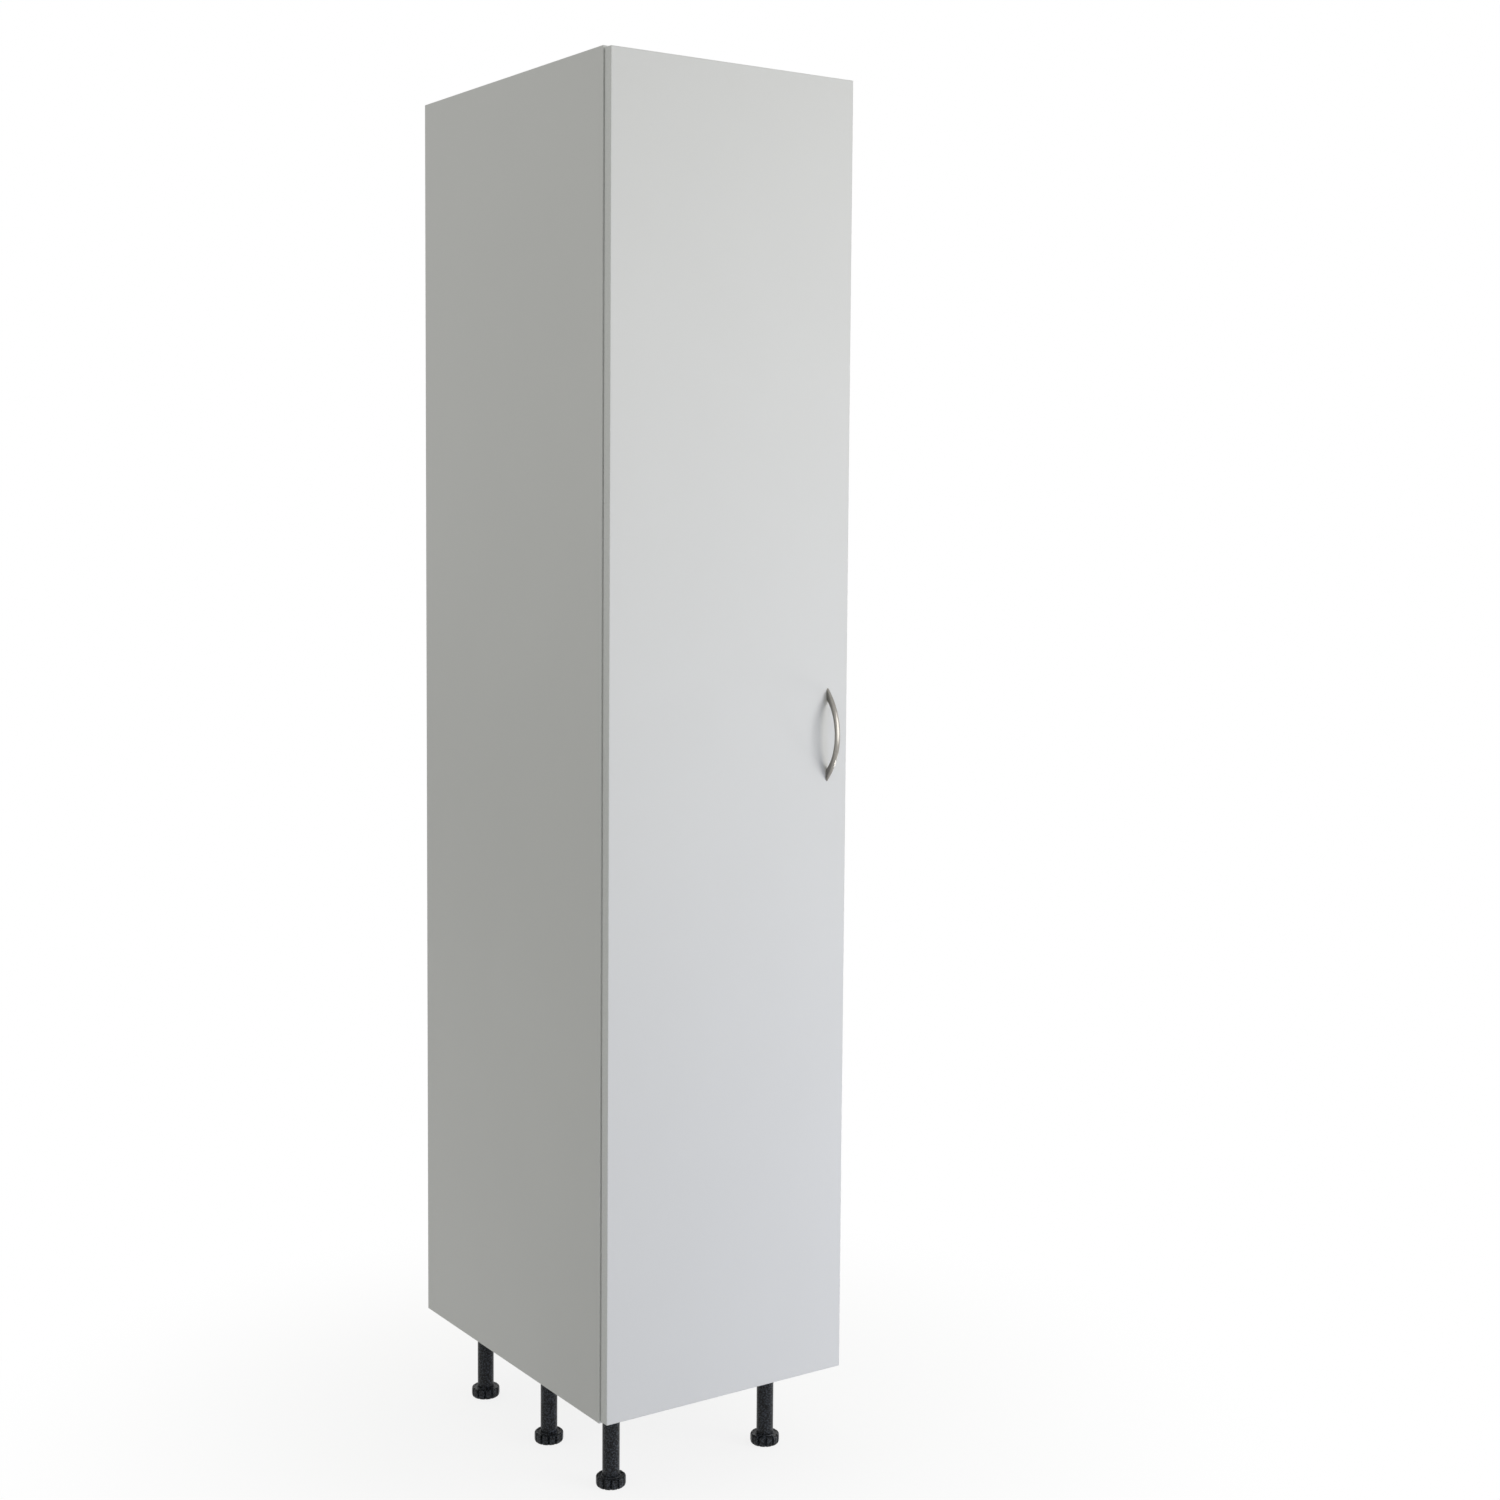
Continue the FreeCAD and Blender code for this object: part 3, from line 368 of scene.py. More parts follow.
# %% Back board
shape = merged_copy("back_panel")
low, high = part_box("back_panel")
for face in shape.faces:
    face.normal_update()
    face.material_index = 0 if face.normal.y < -0.5 else 1
back = finished("back_board", shape, "carcass", [back_white, back_brown], ["back_panel"])
print(back.name, [round(v / MM, 1) for v in (high - low)], "mm")

# %% [markdown]
# ## Edge bands
# A band is 1 mm thick and its outer corners are scraped to a radius of about 0.8 mm, which gives the
# thin bright line down the edge of a door. Only the corners that show are rounded. The edges that lie
# against the board stay sharp, so that no gap opens. The door's four bands are laid one by one, the
# long ones first, so that each keeps its own square ends where they meet.

# %% Door, side and cross bands
BAND, DOOR_RADIUS, CARCASS_RADIUS = 1 * MM, 0.8 * MM, 0.6 * MM
low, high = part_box("door_edge_bands")
left, right = low.x + BAND, high.x - BAND
strips = [((low.x, low.z), (left, high.z)), ((right, low.z), (high.x, high.z)),
          ((left, low.z), (right, low.z + BAND)), ((left, high.z - BAND), (right, high.z))]
shape, rounded = bmesh.new(), 0
for near, far in strips:
    strip = bmesh.new()
    bmesh.ops.create_cube(strip, size=1.0)
    for vertex in strip.verts:
        x, y, z = vertex.co
        vertex.co = ((far if x > 0 else near)[0], (high if y > 0 else low).y, (far if z > 0 else near)[1])
    rounded += soften(strip, DOOR_RADIUS, outer_edge(low, high))
    shape.from_mesh(as_mesh(strip))
finished("door_bands", shape, "door", [edge_band], ["door_edge_bands"])

for node, long_axis in (("side_edge_bands", 2), ("cross_edge_bands", 0)):
    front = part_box(node)[0].y
    shape = merged_copy(node)
    rounded += soften(shape, CARCASS_RADIUS, lambda a, b: abs(a.y - front) < NEAR and abs(b.y - front) < NEAR
                      and abs(a[long_axis] - b[long_axis]) > 100 * MM)
    finished(node.replace("edge_", ""), shape, "carcass", [edge_band], [node])
print(rounded, "corners rounded")

# %% [markdown]
# ## Growing pieces with Geometry Nodes
# Pieces that follow a rule are grown by a small tree: the handle follows two arcs, the screws repeat,
# and so do the notches round a foot. Each tree names its sizes as inputs. One function starts a tree
# with those inputs, and one runs it and keeps the result as plain mesh, with no modifier left.

# %% Helpers that start and run a tree
def new_tree(name, **sizes):
    """A tree with inputs listed by kind, and a material; gives what adds nodes to it, and its inputs."""
    tree = bpy.data.node_groups.new(name, "GeometryNodeTree")
    for kind, labels in {"Geometry": ["Geometry"], **sizes, "Material": ["Material"]}.items():
        for label in labels:
            tree.interface.new_socket(label, in_out="INPUT", socket_type="NodeSocket" + kind)
    tree.interface.new_socket("Geometry", in_out="OUTPUT", socket_type="NodeSocketGeometry")
    return tree, partial(add_node, tree), tree.nodes.new("NodeGroupInput").outputs


def end_tree(add, geometry, size):
    """Makes instances real, gives them their material and joins them to the tree's output."""
    real = add("GeometryNodeRealizeInstances", {"Geometry": geometry})
    dressed = add("GeometryNodeSetMaterial", {"Geometry": real, "Material": size["Material"]})
    add("NodeGroupOutput", (dressed,))


def grown(tree, mesh, inputs):
    """Runs a tree on a mesh and gives what it made as an editable shape."""
    carrier = new_object(tree.name + "_carrier", mesh)
    modifier = carrier.modifiers.new(tree.name, "NODES")
    modifier.node_group = tree
    for item in tree.interface.items_tree:
        if item.in_out == "INPUT" and item.name in inputs:
            modifier[item.identifier] = inputs[item.name]
    result = evaluated(carrier)
    shape = bmesh.new()
    shape.from_mesh(result)
    bpy.data.objects.remove(carrier)
    bpy.data.meshes.remove(result)
    return shape


def mesh_of_points(name, points, headings=None):
    """A mesh of loose points, each with the way it faces."""
    mesh = bpy.data.meshes.new(name)
    mesh.from_pydata([tuple(p) for p in points], [], [])
    if headings:
        facing = mesh.attributes.new("facing", "FLOAT_VECTOR", "POINT")
        facing.data.foreach_set("vector", [v for h in headings for v in h])
    return mesh


def position(add):
    """A point's X, Y and Z, and its place with the height left out."""
    where = add("GeometryNodeInputPosition")
    flat = add(VECTOR_MATH, (where, (1.0, 1.0, 0.0)), "MULTIPLY")
    return *add("ShaderNodeSeparateXYZ", (where,)).outputs, flat


# %% [markdown]
# ## The bow handle
# The handle is a bar between two arcs that both end on the door: a wide outer one and a tighter inner
# one, so the bar is slim in the middle and runs out to two points. It is also widest in the middle.
# A grid is bent to that rule: one way along it runs from end to end, the other goes round the bar's
# section, a rounded rectangle that comes from powers of sine and cosine.

# %% A tree that bends a grid into a bow
bow_tree, add, size = new_tree("bow_bar", Vector=["Centre"], Int=["Steps Along", "Steps Around"], Float=[
    "Outer Radius", "Outer Angle", "Inner Radius", "Inner Angle", "Middle Width", "Tip Width", "Front Curve",
    "Side Curve"])
grid = add("GeometryNodeMeshGrid", {
    "Size X": 1.0, "Size Y": 2.0, "Vertices X": size["Steps Around"], "Vertices Y": size["Steps Along"]})
x, y, _ = add("ShaderNodeSeparateXYZ", (add("GeometryNodeInputPosition"),)).outputs
half_on = add(MATH, (x, 0.5), "ADD")
wrapped = add(MATH, (half_on,), "FRACT")
turn = add(MATH, (wrapped, math.tau), "MULTIPLY")
section = {}
for wave, curve in (("COSINE", "Front Curve"), ("SINE", "Side Curve")):
    value = add(MATH, (turn,), wave)
    sign = add(MATH, (value,), "SIGN")
    size_of = add(MATH, (value,), "ABSOLUTE")
    squared_off = add(MATH, (size_of, size[curve]), "POWER")
    section[wave] = add(MATH, (squared_off, sign), "MULTIPLY")
arcs = {}
for arc in ("Outer", "Inner"):
    radius, limit = size[arc + " Radius"], size[arc + " Angle"]
    angle = add(MATH, (y, limit), "MULTIPLY")
    rise = add(MATH, (angle,), "COSINE")
    floor_of = add(MATH, (limit,), "COSINE")
    out = add(MATH, (floor_of, rise), "SUBTRACT")
    up = add(MATH, (angle,), "SINE")
    unit = add(COMBINE, {"Y": out, "Z": up})
    arcs[arc] = add(VECTOR_MATH, {0: unit, "Scale": radius}, "SCALE")
blend = add(MAP_RANGE, {"Value": section["SINE"], "From Min": -1.0})
between = add("ShaderNodeMix", {0: blend, 4: arcs["Inner"], 5: arcs["Outer"]}, {"data_type": "VECTOR"})
near_tip = add(MATH, (y, y), "MULTIPLY")
width = add(MAP_RANGE, {
    "Value": near_tip, "To Min": size["Middle Width"], "To Max": size["Tip Width"]})
half = add(MATH, (width, 0.5), "MULTIPLY")
across = add(MATH, (half, section["COSINE"]), "MULTIPLY")
sideways = add(COMBINE, {"X": across})
bent = add(VECTOR_MATH, (between.outputs[1], sideways), "ADD")
placed = add(VECTOR_MATH, (bent, size["Centre"]), "ADD")
end_tree(add, add("GeometryNodeSetPosition", {"Geometry": grid, "Position": placed}), size)
print(bow_tree.name, len(bow_tree.nodes), "nodes")

# %% Bow handle
low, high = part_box("bow_handle")
door_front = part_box("door_panel")[0].y
INNER_HALF, INNER_RISE = 55 * MM, 25 * MM


def arc_through(arc, half_chord, height):
    """Radius and half angle of the arc with this half chord and height, as the tree's inputs."""
    radius = (half_chord ** 2 + height ** 2) / (2 * height)
    return {arc + " Radius": radius, arc + " Angle": math.asin(half_chord / radius)}


bow_sizes = arc_through("Outer", (high.z - low.z) / 2, door_front - low.y)
bow_sizes |= arc_through("Inner", INNER_HALF, INNER_RISE)
shape = grown(bow_tree, bpy.data.meshes.new("start"), {
    **bow_sizes, "Centre": ((low.x + high.x) / 2, door_front, (low.z + high.z) / 2), "Middle Width": 9 * MM,
    "Tip Width": 5 * MM, "Front Curve": 1.0, "Side Curve": 0.45, "Steps Along": 121, "Steps Around": 49,
    "Material": satin_nickel})
bmesh.ops.remove_doubles(shape, verts=shape.verts, dist=1e-6)
open_ends = [e for e in shape.edges if e.is_boundary]
bmesh.ops.holes_fill(shape, edges=open_ends, sides=0)
bmesh.ops.recalc_face_normals(shape, faces=shape.faces)
print(len(open_ends), "open edges at the two ends")
handle = finished("bow_handle_bar", shape, "door", [satin_nickel], ["bow_handle"], smooth=50)
print(handle.name, {name: round(value, 4) for name, value in bow_sizes.items()})

# %% [markdown]
# ## Screws
# The fittings are held by flat-domed screws with a cross recess, and the cam locks are turned with the
# same driver. One tree makes a head and its shank, cuts the cross with a Boolean, and puts a copy at
# every point, along the way that the point faces. Each stops at its own angle, picked from a fixed
# seed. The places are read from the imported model: each loose part of a node is one screw.

# %% A tree that makes screws
screw_tree, add, size = new_tree("cross_recess_screws", Int=["Seed"], Float=[
    "Head Radius", "Head Height", "Recess Length", "Recess Width", "Recess Depth", "Shank Radius",
    "Shank Length"])
cone = add("GeometryNodeMeshCone", {
    "Vertices": 28, "Side Segments": 5, "Radius Top": 0.0, "Radius Bottom": size["Head Radius"],
    "Depth": 1 * MM})
_, _, level, flat = position(add)
from_axis = add(VECTOR_MATH, (flat,), "LENGTH").outputs["Value"]
share = add(MATH, (from_axis, size["Head Radius"]), "DIVIDE")
power = add(MATH, (share, 3.0), "POWER")
dome = add(MAP_RANGE, {"Value": power, "To Min": size["Head Height"], "To Max": 0.0})
lift = add(COMBINE, {"Z": dome})
domed = add(VECTOR_MATH, (flat, lift), "ADD")
is_top = add("FunctionNodeCompare", (level, 0.01 * MM), "GREATER_THAN")
head = add("GeometryNodeSetPosition", {"Geometry": cone, "Selection": is_top, "Position": domed})
deep = add(MATH, (size["Recess Depth"], 2.0), "MULTIPLY")
raised = add(COMBINE, {"Z": size["Head Height"]})
bar_size = add(COMBINE, {"X": size["Recess Length"], "Y": size["Recess Width"], "Z": deep})
bar = add("GeometryNodeMeshCube", {"Size": bar_size})
blades = [add("GeometryNodeTransform", {"Geometry": bar, "Translation": raised, "Rotation": (0.0, 0.0, turn)})
          for turn in (0.0, math.pi / 2)]
recessed = add("GeometryNodeMeshBoolean", {"Mesh 1": head, "Mesh 2": blades},
               {"operation": "DIFFERENCE", "solver": "MANIFOLD"})
rod = add("GeometryNodeMeshCylinder", {
    "Vertices": 20, "Radius": size["Shank Radius"], "Depth": size["Shank Length"]})
down = add(MATH, (size["Shank Length"], -0.5), "MULTIPLY")
sink = add(COMBINE, {"Z": down})
shank = add("GeometryNodeTransform", {"Geometry": rod, "Translation": sink})
screw = add("GeometryNodeJoinGeometry", ([recessed, shank],))
facing = add("GeometryNodeInputNamedAttribute", {"Name": "facing"}, {"data_type": "FLOAT_VECTOR"})
aimed = add("FunctionNodeAlignRotationToVector", {"Vector": facing}, {"axis": "Z"})
stop = add("FunctionNodeRandomValue", {2: 0.0, 3: math.pi / 2, "Seed": size["Seed"]}).outputs[1]
spin = add("FunctionNodeAxisAngleToRotation", {"Axis": (0.0, 0.0, 1.0), "Angle": stop})
own_turn = add("FunctionNodeRotateRotation", {"Rotation": aimed, "Rotate By": spin},
               {"rotation_space": "LOCAL"})
end_tree(add, add("GeometryNodeInstanceOnPoints", {
    "Points": size["Geometry"], "Instance": screw, "Rotation": own_turn}), size)
print(screw_tree.name, len(screw_tree.nodes), "nodes")


# %% Read where each screw is
def loose_parts(node):
    """The boxes of a node's loose parts, as (lowest corner, highest corner)."""
    shape = merged_copy(node)
    left, boxes = set(shape.verts), []
    while left:
        group, edge_of_group = set(), [left.pop()]
        while edge_of_group:
            vertex = edge_of_group.pop()
            group.add(vertex)
            near = {edge.other_vert(vertex) for edge in vertex.link_edges} & left
            left -= near
            edge_of_group.extend(near)
        boxes.append(tuple(Vector(pick(v.co[i] for v in group) for i in range(3)) for pick in (min, max)))
    shape.free()
    return sorted(boxes, key=lambda b: tuple(round(c, 5) for c in b[0]))


RECESS_WIDTH, RECESS_DEPTH, DEEPEST_RECESS = 0.22, 0.75, 1.2


def make_screws(name, node, body, heading, head, height, recess, seed, shank=1.8):
    """One mesh with a screw in place of each loose part of a node, which a test turns the right way.

    The sizes are in millimetres: radius and height of the head, length of the recess, radius of the shank."""
    points, headings, lengths = [], [], []
    for low, high in loose_parts(node):
        facing = heading(high)
        axis = max(range(3), key=lambda i: abs(facing[i]))
        point = (low + high) / 2
        point[axis] = (high if facing[axis] > 0 else low)[axis] - facing[axis] * height * MM
        points.append(point)
        headings.append(facing)
        lengths.append(high[axis] - low[axis] - height * MM)
    shape = grown(screw_tree, mesh_of_points(name + "_points", points, headings), {
        "Head Radius": head * MM, "Head Height": height * MM, "Recess Length": recess * MM,
        "Recess Width": RECESS_WIDTH * recess * MM,
        "Recess Depth": min(RECESS_DEPTH * height, DEEPEST_RECESS) * MM,
        "Shank Radius": shank * MM, "Shank Length": min(lengths), "Seed": seed, "Material": zinc})
    piece = finished(name, shape, body, [zinc], [node], smooth=35)
    print(name, len(points), "copies,", len(piece.data.polygons), "faces")


# %% Screws of the hinges, the handle and the legs, and the cam locks
RIGHT, BACK, UP, DOWN = (1, 0, 0), (0, 1, 0), (0, 0, 1), (0, 0, -1)
TOP_PANEL = 2.2
make_screws("plate_screw_heads", "hinge_plate_screws", "carcass", lambda high: RIGHT, 4.39, 1.8, 5.2, 3)
make_screws("arm_screw_heads", "hinge_arm_screws", "carcass", lambda high: RIGHT, 4.39, 1.8, 5.2, 5)
make_screws("cup_screw_heads", "hinge_cup_screws", "door", lambda high: BACK, 3.59, 1.8, 4.4, 7)
make_screws("handle_screw_heads", "handle_screws", "door", lambda high: BACK, 3.99, 2.4, 4.8, 11)
make_screws("socket_screw_heads", "leg_socket_screws", "carcass", lambda high: DOWN, 3.6, 1.8, 4.4, 13)
make_screws("cam_lock_drums", "cam_locks", "carcass", lambda high: UP if high.z > TOP_PANEL else DOWN,
            7.3, 0.6, 8.0, 17, shank=7.35)

# %% [markdown]
# ## Concealed hinges
# A concealed hinge is stamped steel: a drawn cup with a flange, a goose-necked arm, and a winged
# plate. Presses leave every edge slightly round, and the flange and the wings have round corners. One
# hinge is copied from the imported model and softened, with a bead pressed along the arm's roof, and a
# tree repeats it up the door at even spacing.

# %% A tree that repeats a fitting up the door
hinge_tree, add, size = new_tree("hinge_line", Int=["Count"], Float=["Spacing"])
step = add(COMBINE, {"Z": size["Spacing"]})
heights = add("GeometryNodeMeshLine", {"Count": size["Count"], "Offset": step}, {"mode": "OFFSET"})
end_tree(add, add("GeometryNodeInstanceOnPoints", {"Points": heights, "Instance": size["Geometry"]}), size)

HINGES = sum(name.startswith("hinge_cup_") and name[-1].isdigit() for name in NODES)
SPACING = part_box("hinge_cup_2")[0].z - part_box("hinge_cup_1")[0].z
print(HINGES, "hinges,", round(SPACING / MM, 1), "mm apart")


# %% Cups, arms and plates
def pressed_mesh(name, shape, width):
    """A mesh of the shape with all its sharp edges rounded, as a press leaves them."""
    carrier = new_object(name, as_mesh(shape, name))
    edge = carrier.modifiers.new("pressed edge", "BEVEL")
    edge.width, edge.segments, edge.limit_method = width, 2, "ANGLE"
    edge.angle_limit = math.radians(40)
    result = evaluated(carrier)
    bpy.data.objects.remove(carrier)
    return result


BEAD_STEPS = 8
BEAD_SCALES = ((0.0, 0.15), (0.04, 0.75), (0.1, 1.0), (0.9, 1.0), (0.96, 0.75), (1.0, 0.15))


def add_bead(shape, low, high):
    """A long half-round bead on a flat roof, lying along Y and standing out in X."""
    rings, middle = [], (low.z + high.z) / 2
    angles = [math.pi * k / BEAD_STEPS for k in range(BEAD_STEPS + 1)]
    for share, scale in BEAD_SCALES:
        half, rise = (high.z - low.z) / 2 * scale, (high.x - low.x) * scale
        y = low.y + (high.y - low.y) * share
        rings.append([shape.verts.new((low.x + rise * math.sin(a), y, middle - half * math.cos(a)))
                      for a in angles])
    for ring, after in zip(rings, rings[1:]):
        for k in range(BEAD_STEPS):
            shape.faces.new((ring[k], ring[k + 1], after[k + 1], after[k]))
        shape.faces.new((ring[-1], ring[0], after[0], after[-1]))
    shape.faces.new(rings[0][::-1])
    shape.faces.new(rings[-1])


BEAD_FRONT, BEAD_BACK, BEAD_HALF, BEAD_SINK, BEAD_RISE = -250 * MM, -232 * MM, 1.6 * MM, 0.3 * MM, 0.5 * MM
PRESS_RADIUS = 0.3 * MM
PRESSINGS = (("cup", "door", 1, 6 * MM), ("arm", "carcass", 0, 0), ("plate", "carcass", 0, 4 * MM))
for kind, body, axis, corner in PRESSINGS:
    node = f"hinge_{kind}_1"
    low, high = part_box(node)
    shape = merged_copy(node)
    if corner:
        others = [i for i in range(3) if i != axis]
        soften(shape, corner, lambda a, b: abs(a[axis] - b[axis]) > 0.5 * MM and all(
            min(abs(a[i] - low[i]), abs(a[i] - high[i])) < NEAR and abs(a[i] - b[i]) < NEAR
            for i in others), 5)
    if kind == "arm":
        middle = (low.z + high.z) / 2
        add_bead(shape, Vector((high.x - BEAD_SINK, BEAD_FRONT, middle - BEAD_HALF)),
                 Vector((high.x + BEAD_RISE, BEAD_BACK, middle + BEAD_HALF)))
        bmesh.ops.recalc_face_normals(shape, faces=shape.faces)
    shape = grown(hinge_tree, pressed_mesh(node + "_pressed", shape, PRESS_RADIUS), {
        "Count": HINGES, "Spacing": SPACING, "Material": bright_nickel})
    piece = finished(f"hinge_{kind}s", shape, body, [bright_nickel],
                     [f"hinge_{kind}_{n + 1}" for n in range(HINGES)], smooth=35)
    print(piece.name, len(piece.data.polygons), "faces")

# %% [markdown]
# ## Turned plastic
# Legs, sockets and feet are round, so each starts as a profile of radii and heights that is turned
# about an axis. The real ones have small radii at every edge, because sharp corners don't fill in a
# mould, and the profile has them too. Where the profile meets the axis the rings close in one point.

# %% A helper that turns a profile
def turned(profile, steps):
    """Turns (radius, height) pairs, in millimetres, about a vertical axis into a closed shape."""
    shape, rings = bmesh.new(), []
    for radius, height in profile:
        around = [math.tau * k / steps for k in range(steps if radius > 0 else 1)]
        rings.append([shape.verts.new((radius * MM * math.cos(a), radius * MM * math.sin(a), height * MM))
                      for a in around])
    loop = list(zip(rings, rings[1:]))
    if profile[0][0] > 0:
        loop.append((rings[-1], rings[0]))
    for ring, after in loop:
        for k in range(steps):
            corners = [ring[k % len(ring)], ring[(k + 1) % len(ring)], after[(k + 1) % len(after)],
                       after[k % len(after)]]
            shape.faces.new(list(dict.fromkeys(corners)))
    bmesh.ops.recalc_face_normals(shape, faces=shape.faces)
    return shape


SPOTS = [name[len("foot_"):] for name in sorted(NODES) if name.startswith("foot_")]
CENTRES = {spot: sum(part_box("leg_tube_" + spot), Vector()) / 2 for spot in SPOTS}
print({spot: [round(v / MM, 1) for v in centre.xy] for spot, centre in CENTRES.items()})

# %% [markdown]
# ## Legs and sockets
# A leg is a plain tube with a thin mould seam down each side. Its socket is a screwed flange with a
# sleeve, stiffened by eight thin webs that stand clear of the screws. A tree puts the webs round the
# sleeve, and another puts a copy of a finished fitting under the cupboard at each leg.

# %% Trees for webs and for copies at the legs
WEB_TAPER = 0.86
web_tree, add, size = new_tree("ring_of_webs", Int=["Count"], Float=[
    "Inner Radius", "Outer Radius", "Height", "Thickness", "Top"])
span = add(MATH, (size["Outer Radius"], size["Inner Radius"]), "SUBTRACT")
reach = add(MATH, (size["Outer Radius"], size["Inner Radius"]), "ADD")
web_size = add(COMBINE, {"X": span, "Y": size["Thickness"], "Z": size["Height"]})
web = add("GeometryNodeMeshCube", {"Size": web_size})
x, _, z = add("ShaderNodeSeparateXYZ", (add("GeometryNodeInputPosition"),)).outputs
outside = add("FunctionNodeCompare", (x, 0.0), "GREATER_THAN")
below = add("FunctionNodeCompare", (z, 0.0), "LESS_THAN")
slanted = add("FunctionNodeBooleanMath", (outside, below), "AND")
most = add(MATH, (size["Height"], WEB_TAPER), "MULTIPLY")
pull = add(COMBINE, {"Z": most})
gusset = add("GeometryNodeSetPosition", {"Geometry": web, "Selection": slanted, "Offset": pull})
mid_radius = add(MATH, (reach, 0.5), "MULTIPLY")
half_down = add(MATH, (size["Height"], -0.5, size["Top"]), "MULTIPLY_ADD")
outwards = add(COMBINE, {"X": mid_radius, "Z": half_down})
first = add("GeometryNodeTransform", {"Geometry": gusset, "Translation": outwards})
dots = add("GeometryNodePoints", {"Count": size["Count"]})
half_on = add(MATH, (add("GeometryNodeInputIndex"), 0.5), "ADD")
turn = add(MATH, (math.tau, size["Count"]), "DIVIDE")
angle = add(MATH, (half_on, turn), "MULTIPLY")
about = add("FunctionNodeAxisAngleToRotation", {"Axis": (0.0, 0.0, 1.0), "Angle": angle})
webs = add("GeometryNodeInstanceOnPoints", {"Points": dots, "Instance": first, "Rotation": about})
end_tree(add, add("GeometryNodeJoinGeometry", ([size["Geometry"], webs],)), size)

leg_tree, add, size = new_tree("copies_at_legs", Object=["Fitting"])
fitting = add("GeometryNodeObjectInfo", {"Object": size["Fitting"]}).outputs["Geometry"]
end_tree(add, add("GeometryNodeInstanceOnPoints", {"Points": size["Geometry"], "Instance": fitting}), size)
print(web_tree.name, len(web_tree.nodes), "nodes,", leg_tree.name, len(leg_tree.nodes), "nodes")


# %% Tubes and sockets at the legs
def at_legs(name, shape, prefix):
    """A copy of a fitting at each leg, as one piece that stands for all its nodes."""
    one = new_object(name + "_one", as_mesh(shape, name + "_one"))
    points = mesh_of_points(name + "_points", [(c.x, c.y, 0.0) for c in CENTRES.values()])
    copies = grown(leg_tree, points, {"Fitting": one, "Material": black_plastic})
    bpy.data.objects.remove(one)
    nodes = [prefix + spot for spot in SPOTS]
    return finished(name, copies, "carcass", [black_plastic], nodes, smooth=35)


TUBE = [(5.1, 18.4), (5.5, 18.0), (13.4, 18.0), (13.8, 18.2), (14, 18.7), (14, 60), (14, 118), (14, 145.8),
        (13.8, 146), (12, 146), (12, 53), (5.1, 53)]
SEAM, SEAM_TOP = 0.15 * MM, 119 * MM
shape = turned(TUBE, 96)
for vertex in shape.verts:
    radius = vertex.co.xy.length
    if radius > 13.9 * MM and abs(vertex.co.y) < 0.5 * MM and vertex.co.z < SEAM_TOP:
        vertex.co.xy *= (radius + SEAM) / radius
tubes = at_legs("leg_tubes", shape, "leg_tube_")

SOCKET = [(0, 146), (14.2, 146), (14.2, 120.4), (14.6, 120), (17.1, 120), (17.5, 120.4), (17.5, 144.6),
          (18, 145.6), (18.9, 146), (31.5, 146), (32, 146.5), (32, 149.8), (31.8, 150), (0, 150)]
shape = grown(web_tree, as_mesh(turned(SOCKET, 72)), {
    "Count": 8, "Inner Radius": 17 * MM, "Outer Radius": 30.5 * MM, "Height": 22 * MM, "Thickness": 1.6 * MM,
    "Top": 146.2 * MM, "Material": black_plastic})
sockets = at_legs("leg_sockets", shape, "leg_socket_")
print(tubes.name, len(tubes.data.polygons), "faces,", sockets.name, len(sockets.data.polygons), "faces")

# %% [markdown]
# ## Feet
# The foot is a thick disc that is turned by hand to level the cupboard, so its rim has twelve finger
# notches. Its lower edge is well rounded and its top is a shallow dish round the tube. A threaded stem
# runs up into the tube and shows when the foot is screwed out. Both the notches and the thread follow
# rules, so two trees press them into turned shapes.

# %% Trees for grip notches and a thread
notch_tree, add, size = new_tree("grip_notches", Int=["Notches"], Float=[
    "Depth", "Sharpness", "Start Radius", "Rim Radius"])
x, y, _, flat = position(add)
angle = add(MATH, (y, x), "ARCTAN2")
radius = add(VECTOR_MATH, (flat,), "LENGTH").outputs["Value"]
phase = add(MATH, (angle, size["Notches"]), "MULTIPLY")
wave = add(MATH, (phase,), "COSINE")
scoop = add(MAP_RANGE, {"Value": wave, "From Min": size["Sharpness"], "From Max": 1.0},
            {"interpolation_type": "SMOOTHSTEP"})
at_rim = add(MAP_RANGE, {
    "Value": radius, "From Min": size["Start Radius"], "From Max": size["Rim Radius"]})
press = add(MATH, (scoop, at_rim), "MULTIPLY")
amount = add(MATH, (press, size["Depth"]), "MULTIPLY")
back_in = add(MATH, (amount, -1.0), "MULTIPLY")
outwards = add(VECTOR_MATH, (flat,), "NORMALIZE")
shift = add(VECTOR_MATH, {0: outwards, "Scale": back_in}, "SCALE")
end_tree(add, add("GeometryNodeSetPosition", {"Geometry": size["Geometry"], "Offset": shift}), size)

thread_tree, add, size = new_tree("screw_thread", Float=["Pitch", "Depth", "Low", "High"])
x, y, level, flat = position(add)
angle = add(MATH, (y, x), "ARCTAN2")
turns = add(MATH, (angle, math.tau), "DIVIDE")
climb = add(MATH, (level, size["Pitch"]), "DIVIDE")
helix = add(MATH, (climb, turns), "SUBTRACT")
groove = add(MATH, (helix, 0.5), "PINGPONG")
cut_in = add(MATH, (groove, -2.0), "MULTIPLY")
amount = add(MATH, (cut_in, size["Depth"]), "MULTIPLY")
outwards = add(VECTOR_MATH, (flat,), "NORMALIZE")
shift = add(VECTOR_MATH, {0: outwards, "Scale": amount}, "SCALE")
above = add("FunctionNodeCompare", (level, size["Low"]), "GREATER_THAN")
under = add("FunctionNodeCompare", (level, size["High"]), "LESS_THAN")
cut_here = add("FunctionNodeBooleanMath", (above, under), "AND")
